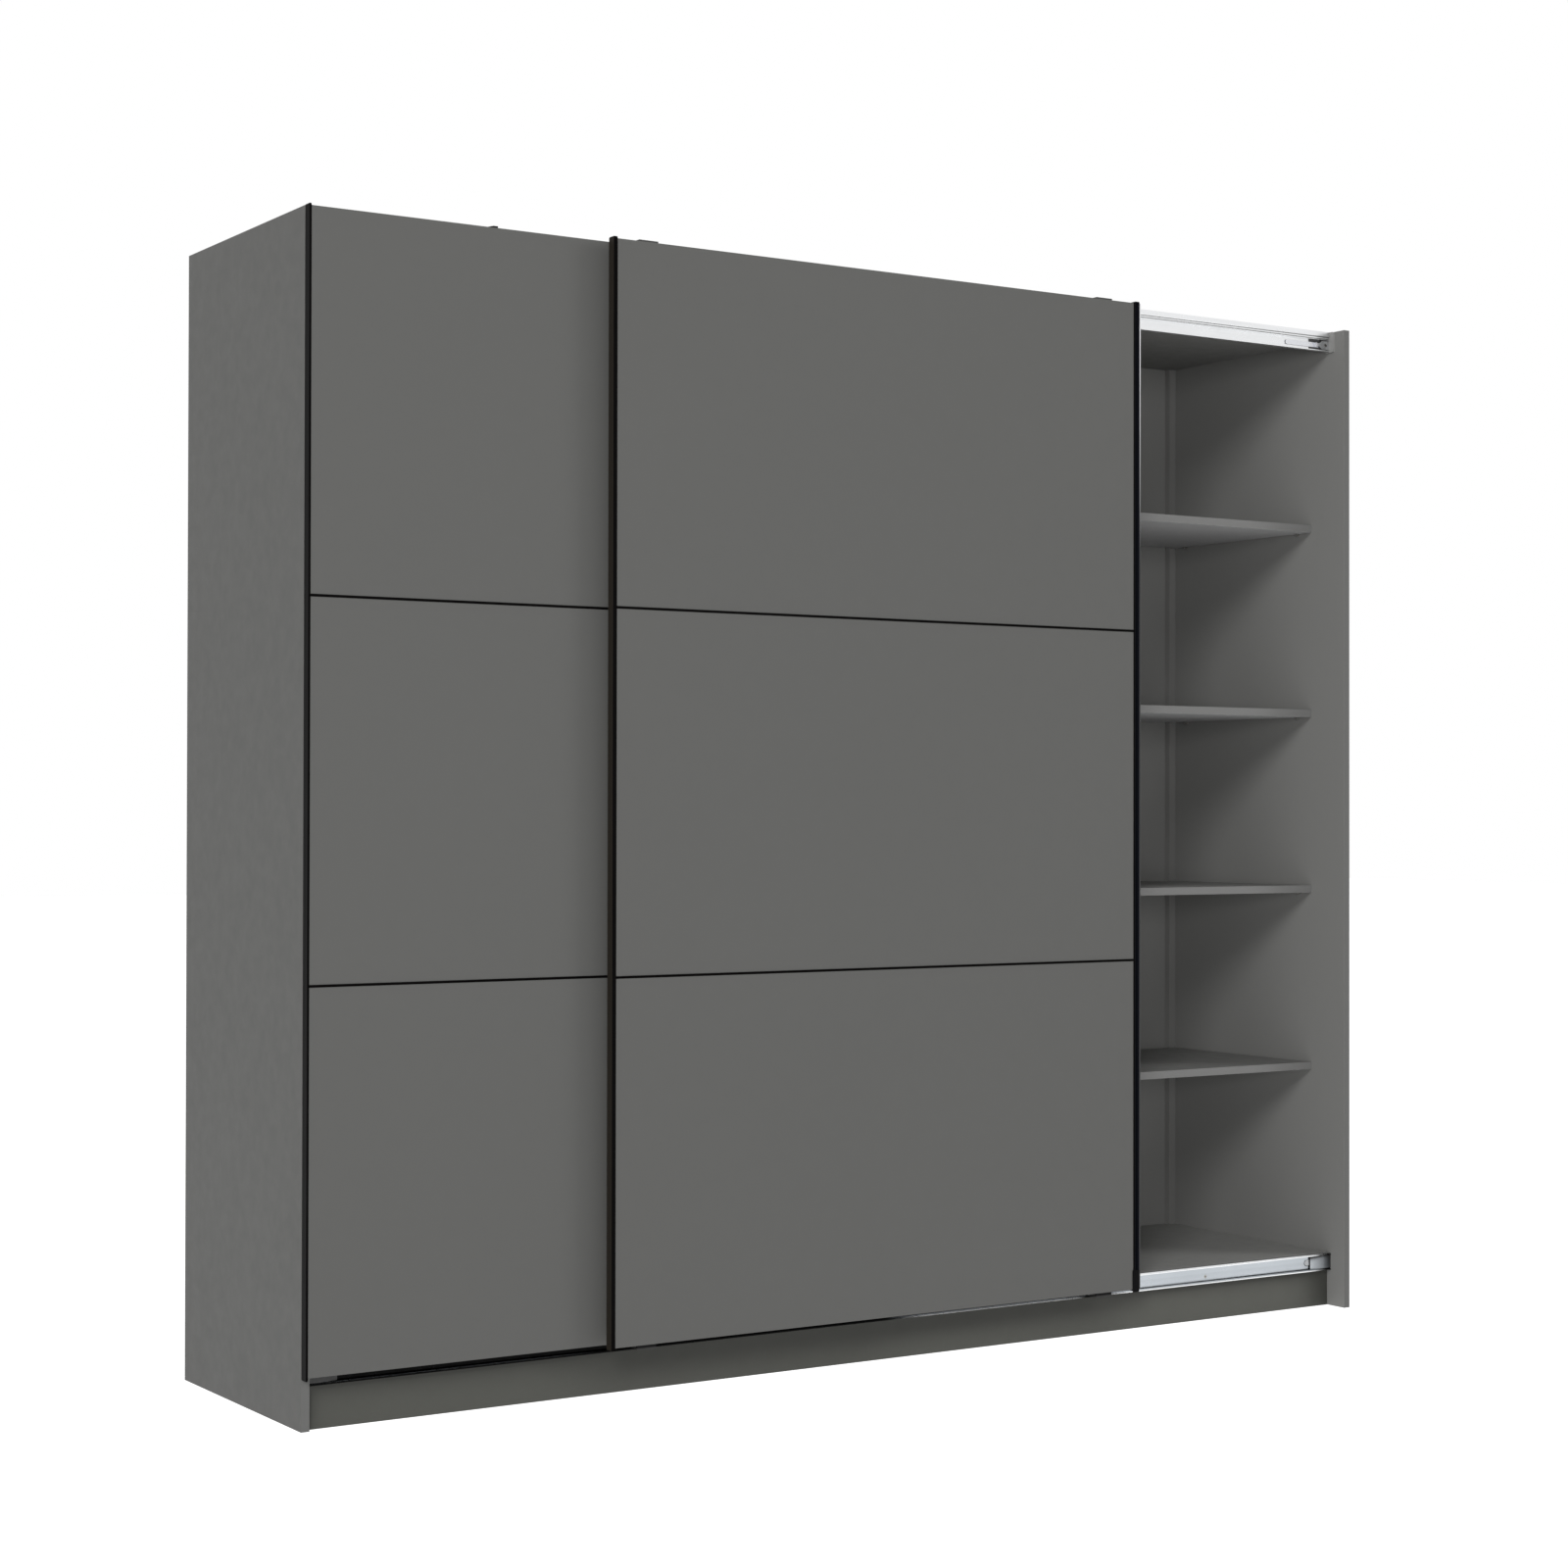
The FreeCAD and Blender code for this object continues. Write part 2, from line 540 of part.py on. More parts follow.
def bracket_holes(x):
    return [screw_hole(V(x, y, HEIGHT + BRACKET_STEEL), DOWN, TOP_SCREW_LENGTH) for y in TOP_SCREW_YS]


def bracket_screws(x):
    return [countersunk_screw(V(x, y, HEIGHT + BRACKET_STEEL), DOWN, TOP_SCREW_LENGTH) for y in TOP_SCREW_YS]


# ---------------------------------------------------------------- doors

DOOR_BOARD_HEIGHT = (DOOR_TOP - DOOR_BOTTOM - 2 * DIVIDER_WEB) / 3


def door_board(x, y, index, right_wall):
    """One of the three boards of a door; index 0 is the lowest."""
    z0 = DOOR_BOTTOM + index * (DOOR_BOARD_HEIGHT + DIVIDER_WEB)
    x0, x1 = x + EDGE_WALL, x + DOOR_WIDTH - right_wall
    return box(x0, x1, y + SKIN, y + SKIN + BOARD, z0, z0 + DOOR_BOARD_HEIGHT)


def door_divider(x, y, index, left_flange, right_flange):
    """A thin H section between two boards; index 0 is the lower one."""
    z = DOOR_BOTTOM + (index + 1) * (DOOR_BOARD_HEIGHT + DIVIDER_WEB) - DIVIDER_WEB / 2
    half, web = DIVIDER_FACE / 2, DIVIDER_WEB / 2
    y1 = y + DOOR_THICKNESS
    section = [(y, z - half), (y + SKIN, z - half), (y + SKIN, z - web), (y1 - SKIN, z - web),
               (y1 - SKIN, z - half), (y1, z - half), (y1, z + half), (y1 - SKIN, z + half),
               (y1 - SKIN, z + web), (y + SKIN, z + web), (y + SKIN, z + half), (y, z + half)]
    return extrude_x(section, x + left_flange, x + DOOR_WIDTH - right_flange)


def edge_profile(edge, y, inward, face):
    """The slim channel on a door's upright edge; edge is its outer face, inward is +1 or -1 in X."""
    y1 = y + DOOR_THICKNESS
    wall, flange = edge + inward * EDGE_WALL, edge + inward * face
    section = [(edge, y), (flange, y), (flange, y + SKIN), (wall, y + SKIN),
               (wall, y1 - SKIN), (flange, y1 - SKIN), (flange, y1), (edge, y1)]
    return extrude_z(section, PROFILE_BOTTOM, PROFILE_TOP)


def grip_profile(edge, y):
    """The wide profile on the front door's closing edge, with a finger groove open to the front."""
    y1 = y + DOOR_THICKNESS
    start = edge - GRIP_WIDTH
    flange = start + EDGE_WALL - GRIP_FLANGE
    floor = y1 - RAIL_WALL
    section = [(flange, y), (start + EDGE_WALL, y), (start + EDGE_WALL, floor), (edge - EDGE_WALL, floor),
               (edge - EDGE_WALL, y), (edge, y), (edge, y1), (flange, y1), (flange, y1 - SKIN),
               (start, y1 - SKIN), (start, y + SKIN), (flange, y + SKIN)]
    return extrude_z(section, PROFILE_BOTTOM, PROFILE_TOP)


def door_seal(edge, y):
    """The soft strip on the closing edge of the front door, rounded on its outer side."""
    y0, y1 = y + SKIN, y + DOOR_THICKNESS - SKIN
    strip = box(edge - SEAL_WIDTH, edge, y0, y1, DOOR_BOTTOM, DOOR_TOP)
    outer = [e for e in strip.Edges if e.Length > DOOR_TOP - DOOR_BOTTOM - 1 and e.CenterOfMass.x > edge - 1]
    return strip.makeFillet(SEAL_ROUND, outer)


def axle(x, y, z):
    """A wheel's stub axle from its bracket at y, with a shoulder and a head that keep the wheel on."""
    wheel_front = RAIL_FRONT + WHEEL_SETBACK
    head_y = wheel_front + WHEEL_WIDTH + END_PLAY
    shoulder = rod(AXLE_HEAD_RADIUS, wheel_front - END_PLAY - y, V(x, y, z), ALONG_Y)
    pin = rod(AXLE_RADIUS, head_y - y, V(x, y, z), ALONG_Y)
    head = rod(AXLE_HEAD_RADIUS, AXLE_HEAD, V(x, head_y, z), ALONG_Y)
    return fuse(shoulder, pin, head)


def wheel_xs(x):
    """Where the two wheels stand on a door whose left edge is at x."""
    return x + WHEEL_INSET, x + DOOR_WIDTH - WHEEL_INSET


def wheel(x, z):
    """A nylon wheel with a groove round its rim and a running bore."""
    start = V(x, RAIL_FRONT + WHEEL_SETBACK, z)
    disc = rod(WHEEL_RADIUS, WHEEL_WIDTH, start, ALONG_Y)
    disc = disc.makeChamfer(WHEEL_CHAMFER, [e for e in disc.Edges if isinstance(e.Curve, Part.Circle)])
    groove = Part.makeTorus(WHEEL_RADIUS, GROOVE_RADIUS, V(x, BEAD_Y, z), ALONG_Y)
    bore = rod(AXLE_RADIUS + RUNNING_FIT, WHEEL_WIDTH, start, ALONG_Y)
    outer, inner, depth = WHEEL_DISH
    dish = rod(outer, depth, start, ALONG_Y).cut(rod(inner, depth, start, ALONG_Y))
    return disc.cut(groove).cut(bore).cut(dish)


PLATE_HALF = 25.0
PLATE_SOFTENED = 0.3
REAR_PLATE_SCREWS = (16.0, (150.0, 174.0))      # half spacing, and heights above the floor
FRONT_PLATE_SCREWS = (12.0, (112.0, 138.0))
REAR_GUIDE_SCREWS = (14.0, (2042.0,))
FRONT_GUIDE_SCREWS = (12.0, (2042.0, 2066.0))
PLATE_STEEL = 2.0
PLATE_TOP = 186.0
PLATE_BOTTOM = 115.5
FRONT_PLATE_TOP = 150.0
ARM_HALF = 20.0
ARM_BOTTOM = 83.0
ARM_STEEL = 2.5
UPRIGHT_HALF = 9.0
UPRIGHT_TOP = 98.0
UPRIGHT_GAP = 3.0           # upright's front face to the rail's front
GUIDE_HALF = 22.0
NECK_HALF = 12.0
NECK_HEIGHTS = (TOP_RAIL_BOTTOM + 8.0, TOP_RAIL_SHELF - 7.0)
SHOE_HEIGHTS = (TOP_RAIL_BOTTOM + 3.5, TOP_RAIL_SHELF - 1.5)
SHOE_SETBACK = 1.5
SHOE_THICK = 6.0
SHOE_ROUND = 2.5
GUTTER_SHOE_SETBACK = 2.8
GUTTER_SHOE_PLAY = 1.3
GUTTER_SHOE_BOTTOM = HEIGHT - 8.0
GUIDE_PLATE_BOTTOM = 2030.0
OVER_ARM_BOTTOM = HEIGHT + 1.0
DOOR_SCREW_LENGTH = 14.0


def door_back(y):
    """The rear face of a door's boards."""
    return y + SKIN + BOARD


def plate_screws(x, door_y, places):
    """Heads of the screws through a plate on a door's back; places is their half spacing and heights."""
    half, heights = places
    return [V(x + dx, door_back(door_y) + PLATE_STEEL, z) for dx in (-half, half) for z in heights]


def rear_wheel_bracket(x):
    """A flat plate on the back of the rear door whose axle stands over the rail's upper lip."""
    y = door_back(REAR_DOOR_Y)
    plate = board(x - PLATE_HALF, x + PLATE_HALF, y, y + PLATE_STEEL, PLATE_BOTTOM, PLATE_TOP, PLATE_SOFTENED)
    return fuse(plate, axle(x, y + PLATE_STEEL, REAR_WHEEL_Z))


def front_wheel_bracket(x):
    """A plate on the back of the front door, an arm under the rear door and an upright with the axle."""
    y = door_back(FRONT_DOOR_Y)
    upright_y = RAIL_FRONT - UPRIGHT_GAP
    upright_back = upright_y + PLATE_STEEL
    plate = box(x - ARM_HALF, x + ARM_HALF, y, y + PLATE_STEEL, ARM_BOTTOM, FRONT_PLATE_TOP)
    arm = box(x - UPRIGHT_HALF, x + UPRIGHT_HALF, y, upright_back, ARM_BOTTOM, ARM_BOTTOM + ARM_STEEL)
    upright = box(x - UPRIGHT_HALF, x + UPRIGHT_HALF, upright_y, upright_back, ARM_BOTTOM, UPRIGHT_TOP)
    return fuse(plate, arm, upright, axle(x, upright_back, FRONT_WHEEL_Z))


def rear_top_guide(x):
    """A moulded guide on the back of the rear door with a shoe in the top rail's lower channel."""
    y = door_back(REAR_DOOR_Y)
    front = RAIL_FRONT + SHOE_SETBACK
    low, high = SHOE_HEIGHTS
    plate = box(x - GUIDE_HALF, x + GUIDE_HALF, y, y + PLATE_STEEL, GUIDE_PLATE_BOTTOM, high)
    neck = box(x - NECK_HALF, x + NECK_HALF, y, front, *NECK_HEIGHTS)
    shoe = box(x - SHOE_HALF, x + SHOE_HALF, front, front + SHOE_THICK, low, high)
    ends = [e for e in shoe.Edges
            if abs(abs(e.CenterOfMass.x - x) - SHOE_HALF) < 0.01 and e.Length > SHOE_THICK + 1]
    return fuse(plate, neck, shoe.makeFillet(SHOE_ROUND, ends))


def front_top_guide(x):
    """A plate on the back of the front door, an arm over the rear door and a shoe in the top gutter."""
    y = door_back(FRONT_DOOR_Y)
    shoe_rear = RAIL_WEB - GUTTER_SHOE_PLAY
    arm_top = OVER_ARM_BOTTOM + ARM_STEEL
    x0, x1 = x - ARM_HALF, x + ARM_HALF
    plate = box(x0, x1, y, y + PLATE_STEEL, GUIDE_PLATE_BOTTOM, arm_top)
    arm = box(x0, x1, y, shoe_rear, OVER_ARM_BOTTOM, arm_top)
    shoe = box(x0, x1, RAIL_FRONT + GUTTER_SHOE_SETBACK, shoe_rear, GUTTER_SHOE_BOTTOM, OVER_ARM_BOTTOM)
    return fuse(plate, arm, shoe)


CLIP_X = REAR_DOOR_X + 340.0
CLIP_LENGTH = 20.0
CLIP_RAMP = 11.0
CLIP_THICK = 1.5
CLIP_TAIL = 26.0


def top_clip():
    """A small clip over the top edge of the rear door, with a ramp on its left end."""
    x1 = CLIP_X + CLIP_LENGTH
    y0, y1 = REAR_DOOR_Y + SKIN, door_back(REAR_DOOR_Y)
    ramp = [(CLIP_X, DOOR_TOP), (x1, DOOR_TOP), (x1, HEIGHT), (CLIP_X + CLIP_RAMP, HEIGHT)]
    wire = Part.makePolygon([V(x, y0, z) for x, z in ramp + ramp[:1]])
    ridge = Part.Face(wire).extrude(V(0, y1 + CLIP_THICK - y0, 0))
    tail = box(CLIP_X, x1, y1, y1 + CLIP_THICK, DOOR_TOP - CLIP_TAIL, DOOR_TOP)
    return fuse(ridge, tail)


# ---------------------------------------------------------------- assembly

def partition(x):
    return board(x, x + BOARD, CARCASS_Y, BACK_Y, FLOOR_TOP, CEILING)


SHOE_PLAY = 1.0             # guide shoe to the catch that stops it


def build():
    parts = {}
    cams, pegs = cam_connectors(), dowels()
    nails = [nail(x, z) for x, z in nail_places()]
    pins = [pin for bay, top in SHELVES.values() for pin in shelf_pins(bay, top)]
    socket_list = socket_places()
    rail_holes = [screw_hole(head, ALONG_Y, length) for head, length in rail_screw_places()]
    fitting_holes = [screw_hole(head, ALONG_Y, length) for head, length in fitting_screw_places()]
    socket_holes = [screw_hole(*screw) for x, way in socket_list for screw in socket_screws(x, way)]
    top_holes = [hole for x in BRACKET_XS for hole in bracket_holes(x)]

    def near(tools, solid):
        """Only the tools whose boxes meet the solid's box."""
        return [tool for tool in tools if solid.BoundBox.intersect(tool.BoundBox)]

    def fitted(solid, tools):
        return bored(solid, near(tools, solid))

    everything = cams + pegs + nails + pins + rail_holes + fitting_holes + socket_holes + top_holes
    frame = {
        "side_panel_left": board(LEFT, INNER_LEFT, LEFT_SIDE_Y, REAR, 0, HEIGHT),
        "side_panel_right": board(INNER_RIGHT, RIGHT, RIGHT_SIDE_Y, REAR, 0, HEIGHT),
        "top_panel": board(INNER_LEFT, INNER_RIGHT, CARCASS_Y, BACK_Y, CEILING, HEIGHT),
        "bottom_panel": board(INNER_LEFT, INNER_RIGHT, CARCASS_Y, BACK_Y, PLINTH_HEIGHT, FLOOR_TOP),
        "partition_left": partition(PARTITION_LEFT_X),
        "partition_right": partition(PARTITION_RIGHT_X),
        "plinth_front": board(INNER_LEFT, INNER_RIGHT, CARCASS_Y, CARCASS_Y + BOARD, 0, PLINTH_HEIGHT),
        "plinth_rear": board(INNER_LEFT, INNER_RIGHT, PLINTH_REAR_Y, PLINTH_REAR_Y + BOARD, 0, PLINTH_HEIGHT),
    }
    for name, solid in frame.items():
        parts[name] = [fitted(solid, everything)]
    parts["plinth_supports"] = [
        board(x, x + BOARD, CARCASS_Y + BOARD, PLINTH_REAR_Y, 0, PLINTH_HEIGHT)
        for x in (PARTITION_LEFT_X, PARTITION_RIGHT_X)]
    for index, name in enumerate(("left", "middle", "right")):
        parts["back_panel_" + name] = [back_panel(index, nails)]
    parts["back_battens"] = [back_batten(x, nails) for x in (INNER_LEFT, INNER_RIGHT - BATTEN_WIDTH)]
    parts["back_panel_nails"] = nails
    for name, (bay, top) in SHELVES.items():
        parts[name] = [shelf(bay, top)]
    parts["shelf_pins"] = pins
    parts["clothes_rail_left"] = [clothes_rail(0)]
    parts["clothes_rail_middle"] = [clothes_rail(1)]
    parts["clothes_rail_sockets"] = [rail_socket(x, way) for x, way in socket_list]
    parts["panel_connectors"] = cams
    parts["dowels"] = pegs

    parts["top_rail"] = [top_rail(rail_holes + fitting_holes)]
    parts["bottom_rail"] = [bottom_rail(rail_holes + fitting_holes)]
    parts["rail_end_caps"] = rail_end_caps()
    parts["top_catch_plates"] = [catch_plate(nose, outward) for nose, outward in CATCH_ENDS]
    parts["catch_springs"] = [catch_spring(nose, outward) for nose, outward in CATCH_ENDS]
    parts["catch_springs"] += [stop_leaf(end, inward) for end, inward in STOP_ENDS]
    parts["bottom_stops"] = [bottom_stop(end, inward) for end, inward in STOP_ENDS]
    screws = [countersunk_screw(head, ALONG_Y, length) for head, length in rail_screw_places()]
    screws += [countersunk_screw(head, ALONG_Y, length) for head, length in fitting_screw_places()]
    screws += [countersunk_screw(*screw) for x, way in socket_list for screw in socket_screws(x, way)]
    screws += [screw for x in BRACKET_XS for screw in bracket_screws(x)]
    parts["carcass_screws"] = screws
    parts["wall_brackets"] = [wall_bracket(x) for x in BRACKET_XS]

    rear_guide_xs = (CATCH_ENDS[0][0] + SHOE_PLAY + SHOE_HALF,
                     CATCH_ENDS[1][0] - SHOE_PLAY - SHOE_HALF - REAR_TRAVEL)
    grip_reach = GRIP_WIDTH + SEAL_WIDTH
    doors = (
        ("rear_door", REAR_DOOR_X, REAR_DOOR_Y, REAR_FLANGE, EDGE_WALL, REAR_FLANGE,
         rear_wheel_bracket, REAR_PLATE_SCREWS, REAR_WHEEL_Z, rear_top_guide, REAR_GUIDE_SCREWS, rear_guide_xs),
        ("front_door", FRONT_DOOR_X, FRONT_DOOR_Y, FRONT_FLANGE,
         grip_reach, grip_reach - EDGE_WALL + GRIP_FLANGE,
         front_wheel_bracket, FRONT_PLATE_SCREWS, FRONT_WHEEL_Z, front_top_guide, FRONT_GUIDE_SCREWS,
         wheel_xs(FRONT_DOOR_X)),
    )
    for (door, x, y, left_flange, right_wall, right_flange,
         bracket, bracket_screws_at, wheel_z, guide, guide_screws_at, guide_xs) in doors:
        heads = [head for wx in wheel_xs(x) for head in plate_screws(wx, y, bracket_screws_at)]
        heads += [head for gx in guide_xs for head in plate_screws(gx, y, guide_screws_at)]
        holes = [screw_hole(head, V(0, -1, 0), DOOR_SCREW_LENGTH) for head in heads]
        for index, place in enumerate(("bottom", "middle", "top")):
            parts[door + "_panel_" + place] = [fitted(door_board(x, y, index, right_wall), holes)]
        for index, place in enumerate(("lower", "upper")):
            parts[door + "_divider_" + place] = [door_divider(x, y, index, left_flange, right_flange)]
        parts[door + "_profile_left"] = [edge_profile(x, y, 1, left_flange)]
        parts[door + "_wheel_brackets"] = [bored(bracket(wx), holes) for wx in wheel_xs(x)]
        parts[door + "_top_guides"] = [bored(guide(gx), holes) for gx in guide_xs]
        parts[door + "_screws"] = [countersunk_screw(head, V(0, -1, 0), DOOR_SCREW_LENGTH) for head in heads]
        for place, wx in zip(("left", "right"), wheel_xs(x)):
            parts[door + "_wheel_" + place] = [wheel(wx, wheel_z)]
    parts["rear_door_profile_right"] = [edge_profile(REAR_DOOR_X + DOOR_WIDTH, REAR_DOOR_Y, -1, REAR_FLANGE)]
    grip_edge = FRONT_DOOR_X + DOOR_WIDTH - SEAL_WIDTH
    parts["front_door_grip_profile"] = [grip_profile(grip_edge, FRONT_DOOR_Y)]
    parts["front_door_seal"] = [door_seal(FRONT_DOOR_X + DOOR_WIDTH, FRONT_DOOR_Y)]
    parts["rear_door_top_clip"] = [top_clip()]
    return parts


def export(parts):
    os.makedirs("parts", exist_ok=True)
    for name, solids in sorted(parts.items()):
        shape = solids[0] if len(solids) == 1 else Part.makeCompound(solids)
        if not shape.isValid():
            raise ValueError(name + " is not a valid solid")
        shape.exportStep("parts/" + name + ".step")
    print(len(parts), "sub-parts written")


export(build())
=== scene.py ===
import math

import bmesh
import bpy
from mathutils import Matrix, Vector


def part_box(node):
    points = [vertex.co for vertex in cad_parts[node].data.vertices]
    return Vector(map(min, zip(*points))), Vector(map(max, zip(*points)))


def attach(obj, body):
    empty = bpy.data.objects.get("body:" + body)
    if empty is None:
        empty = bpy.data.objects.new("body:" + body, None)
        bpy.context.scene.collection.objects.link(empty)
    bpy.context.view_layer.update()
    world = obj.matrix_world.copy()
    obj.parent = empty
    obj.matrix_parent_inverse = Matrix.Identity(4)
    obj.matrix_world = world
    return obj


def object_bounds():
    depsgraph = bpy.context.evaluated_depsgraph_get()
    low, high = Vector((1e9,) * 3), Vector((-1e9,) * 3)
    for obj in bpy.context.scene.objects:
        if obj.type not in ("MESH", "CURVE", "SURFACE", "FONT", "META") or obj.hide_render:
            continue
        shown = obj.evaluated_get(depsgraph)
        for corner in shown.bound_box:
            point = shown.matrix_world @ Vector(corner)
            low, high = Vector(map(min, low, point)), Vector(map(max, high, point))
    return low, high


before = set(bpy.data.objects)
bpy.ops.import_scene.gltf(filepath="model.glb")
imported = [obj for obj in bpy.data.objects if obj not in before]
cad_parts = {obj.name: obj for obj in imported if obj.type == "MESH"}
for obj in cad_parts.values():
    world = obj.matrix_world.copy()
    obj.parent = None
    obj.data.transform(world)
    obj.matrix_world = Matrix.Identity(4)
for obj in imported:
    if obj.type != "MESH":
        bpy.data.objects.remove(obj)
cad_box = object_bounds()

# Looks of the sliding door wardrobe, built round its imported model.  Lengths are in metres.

MM = 0.001

# ---- camera: standing left of the wardrobe at half its height ----
CAMERA_PLACE = Vector((-3.1683, -4.8211, 1.0597))
CAMERA_TURN = 0.57177       # clockwise from +Y, radians
CAMERA_TILT = 0.00998       # upwards
CAMERA_ROLL = 0.00171
CAMERA_LENS = 66.0
CAMERA_REACH = 200.0
SENSOR = 36.0

# ---- colours, linear ----
GRAPHITE = (0.0655, 0.0655, 0.0630)
GRAPHITE_BAND = (0.080, 0.080, 0.078)
LINING_PAINTED_LIGHTER = (0.144, 0.144, 0.139)      # painted light: the inner faces are painted lighter than the outer ones, to stand in for the light the interior lacks
LINING_BAND = (0.111, 0.111, 0.109)
# painted light: the shelves' undersides are painted lighter, as light from the bright floor below
SHELF_UNDER_PAINTED_LIGHT = (0.300, 0.300, 0.302)
BACK_GREY = (0.124, 0.124, 0.120)
PLINTH_GREY = (0.064, 0.065, 0.0575)
PROFILE_BLACK = (0.0014, 0.0013, 0.0013)
PROFILE_SIDE_REFLECTION = (0.0150, 0.0130, 0.0105)     # painted reflection: the brownish side face of the front door's left profile
GRIP_NAVY = (0.0056, 0.0062, 0.0085)        # the outer wall of the grip profile
ALUMINIUM = (0.84, 0.85, 0.86)
# painted shade: the lower rail's recessed web is painted this darker, bluish grey
CHANNEL_SHADE_GREY = (0.44, 0.47, 0.50)
RAIL_SHADE = (0.004, 0.004, 0.004)
GROOVE_DARK = (0.09, 0.09, 0.09)
CHROME = (0.72, 0.72, 0.73)
ZINC = (0.52, 0.52, 0.50)
ZINC_YELLOWED = (0.54, 0.516, 0.444)
NYLON = (0.014, 0.014, 0.014)
BLACK_PLASTIC = (0.0025, 0.0025, 0.0027)
CATCH_GREY = (0.045, 0.045, 0.045)
LEAF_BRIGHT = (0.74, 0.75, 0.78)        # the spring leaves of the top catches
LEAF_DULL = (0.34, 0.35, 0.36)          # and of the bottom stops
GREY_PLASTIC = (0.175, 0.175, 0.170)
STOP_INNER = (0.30, 0.32, 0.34)         # painted shade: the bottom stops are painted darker towards the side panels, in the corner
STOP_OUTER = (0.035, 0.038, 0.042)
# painted highlight: the closing strip goes from dark low down to light at its top
STRIP_LOW = (0.033, 0.033, 0.034)
STRIP_TOP_HIGHLIGHT = (0.42, 0.42, 0.43)
BEECH = (0.42, 0.27, 0.14)
FLOOR_WHITE = (0.50, 0.50, 0.498)

# ---- factors that make one colour from another ----
PLINTH_PAINTED_SHADE = 0.46     # painted shade: the plinth's factor below the doors
# painted light: the floor board inside is painted lighter still than the lining
FLOOR_BOARD_PAINTED_LIGHT = 1.5
BATTEN_DARK = 0.92
BRACKET_DARK = 0.55
SCREW_DARK = 0.7

# ---- where a colour changes along an axis ----
GRIP_OUTER = (0.5885, 0.5895)       # X: the grip profile turns from black to navy
STOP_FADE = (1.132, 1.180)          # X, and mirrored on the left
LIP_FRONT = (-0.2392, -0.2388)      # Y: the front faces of the lower rail's lips
RIB_FOOT = (0.1096, 0.1100)         # Z: above this, the lower rail's upper lip and rib
WEB_FOOT = (0.090, 0.098)           # Z: the foot of the lower rail's web
BRACKET_FADE = (0.0855, 0.0875)     # Z: the lower edge of the doors; above it the wheel brackets are painted black as painted shade
STRIP_FADE = (1.60, 2.04)           # Z: where the closing strip's painted highlight fades in
LEAF_FADE = (0.50, 0.60)            # Z: far above the bottom stops, far below the top catches

# ---- shade: its reach, and the openness at which a face is darkest and brightest ----
WEB_SHADE = (0.08, 0.25, 0.50)
WEB_FOOT_SHADE = (0.08, 0.40, 0.60)
LIP_SHADE = (0.08, 0.35, 0.45)
GROOVE_SHADE = (0.006, 0.20, 0.62)
PLINTH_SHADE = (0.13, 0.46, 0.82)
SHADE_SAMPLES = 16

# ---- directions, stretches and limits ----
UPWARD = (0.0, 0.0, 1.0)
FORWARD_UP = (0.0, -0.707, 0.707)
EVEN = (1.0, 1.0, 1.0)
LENGTHWISE = (0.01, 1.0, 1.0)       # lines that run along X
UPRIGHT = (1.0, 1.0, 0.01)          # lines that run along Z
FACING_LIMIT = 0.72                 # a face looks along an axis if its normal has more than this of it
NOISE_LOW, NOISE_HIGH = 0.3, 0.7    # a noise texture mostly keeps between these

# ---- small pieces and softened edges ----
CAP_RISE = 1.4 * MM
CAP_INSET = 0.15 * MM
CAP_ROUND = 0.45 * MM
GRIP_FLANGE = 3.5 * MM      # the part of the grip profile that lies over the board
FOOT_HEIGHT = 43 * MM
FOOT_PROUD = 0.7 * MM
FOOT_PAST = 2.4 * MM
RAIL_ROUND = 0.25 * MM
WELD_REACH = 0.01 * MM
SHARP_ANGLE = math.radians(40)

# ---- studio ----
SKY_SEEN = 1.0          # brightness of the white room itself and in reflections
SKY_LIGHT = 0.06        # and as soft light
FLOOR_SIZE = 60.0
FLOOR_GAP = 0.5 * MM
FLOOR_GLOW = 0.95       # the floor shines almost white by itself, as over a light table
LIGHT_AIM = Vector((0.6, -0.1, 1.0))
LIGHT_DISTANCE = 14.0
STUDIO_LIGHTS = {       # degrees left of the front, degrees up, width in metres, watts
    "fill_light": (33, 2, 3.2, 900.0),
    "key_light": (45, 27, 3.6, 1020.0),
    "side_light": (66, 20, 3.2, 240.0),
    "right_light": (-52, 22, 4.0, 800.0),
}


def shade(colour, factor):
    return tuple(channel * factor for channel in colour)


# ---------------------------------------------------------------- node writing

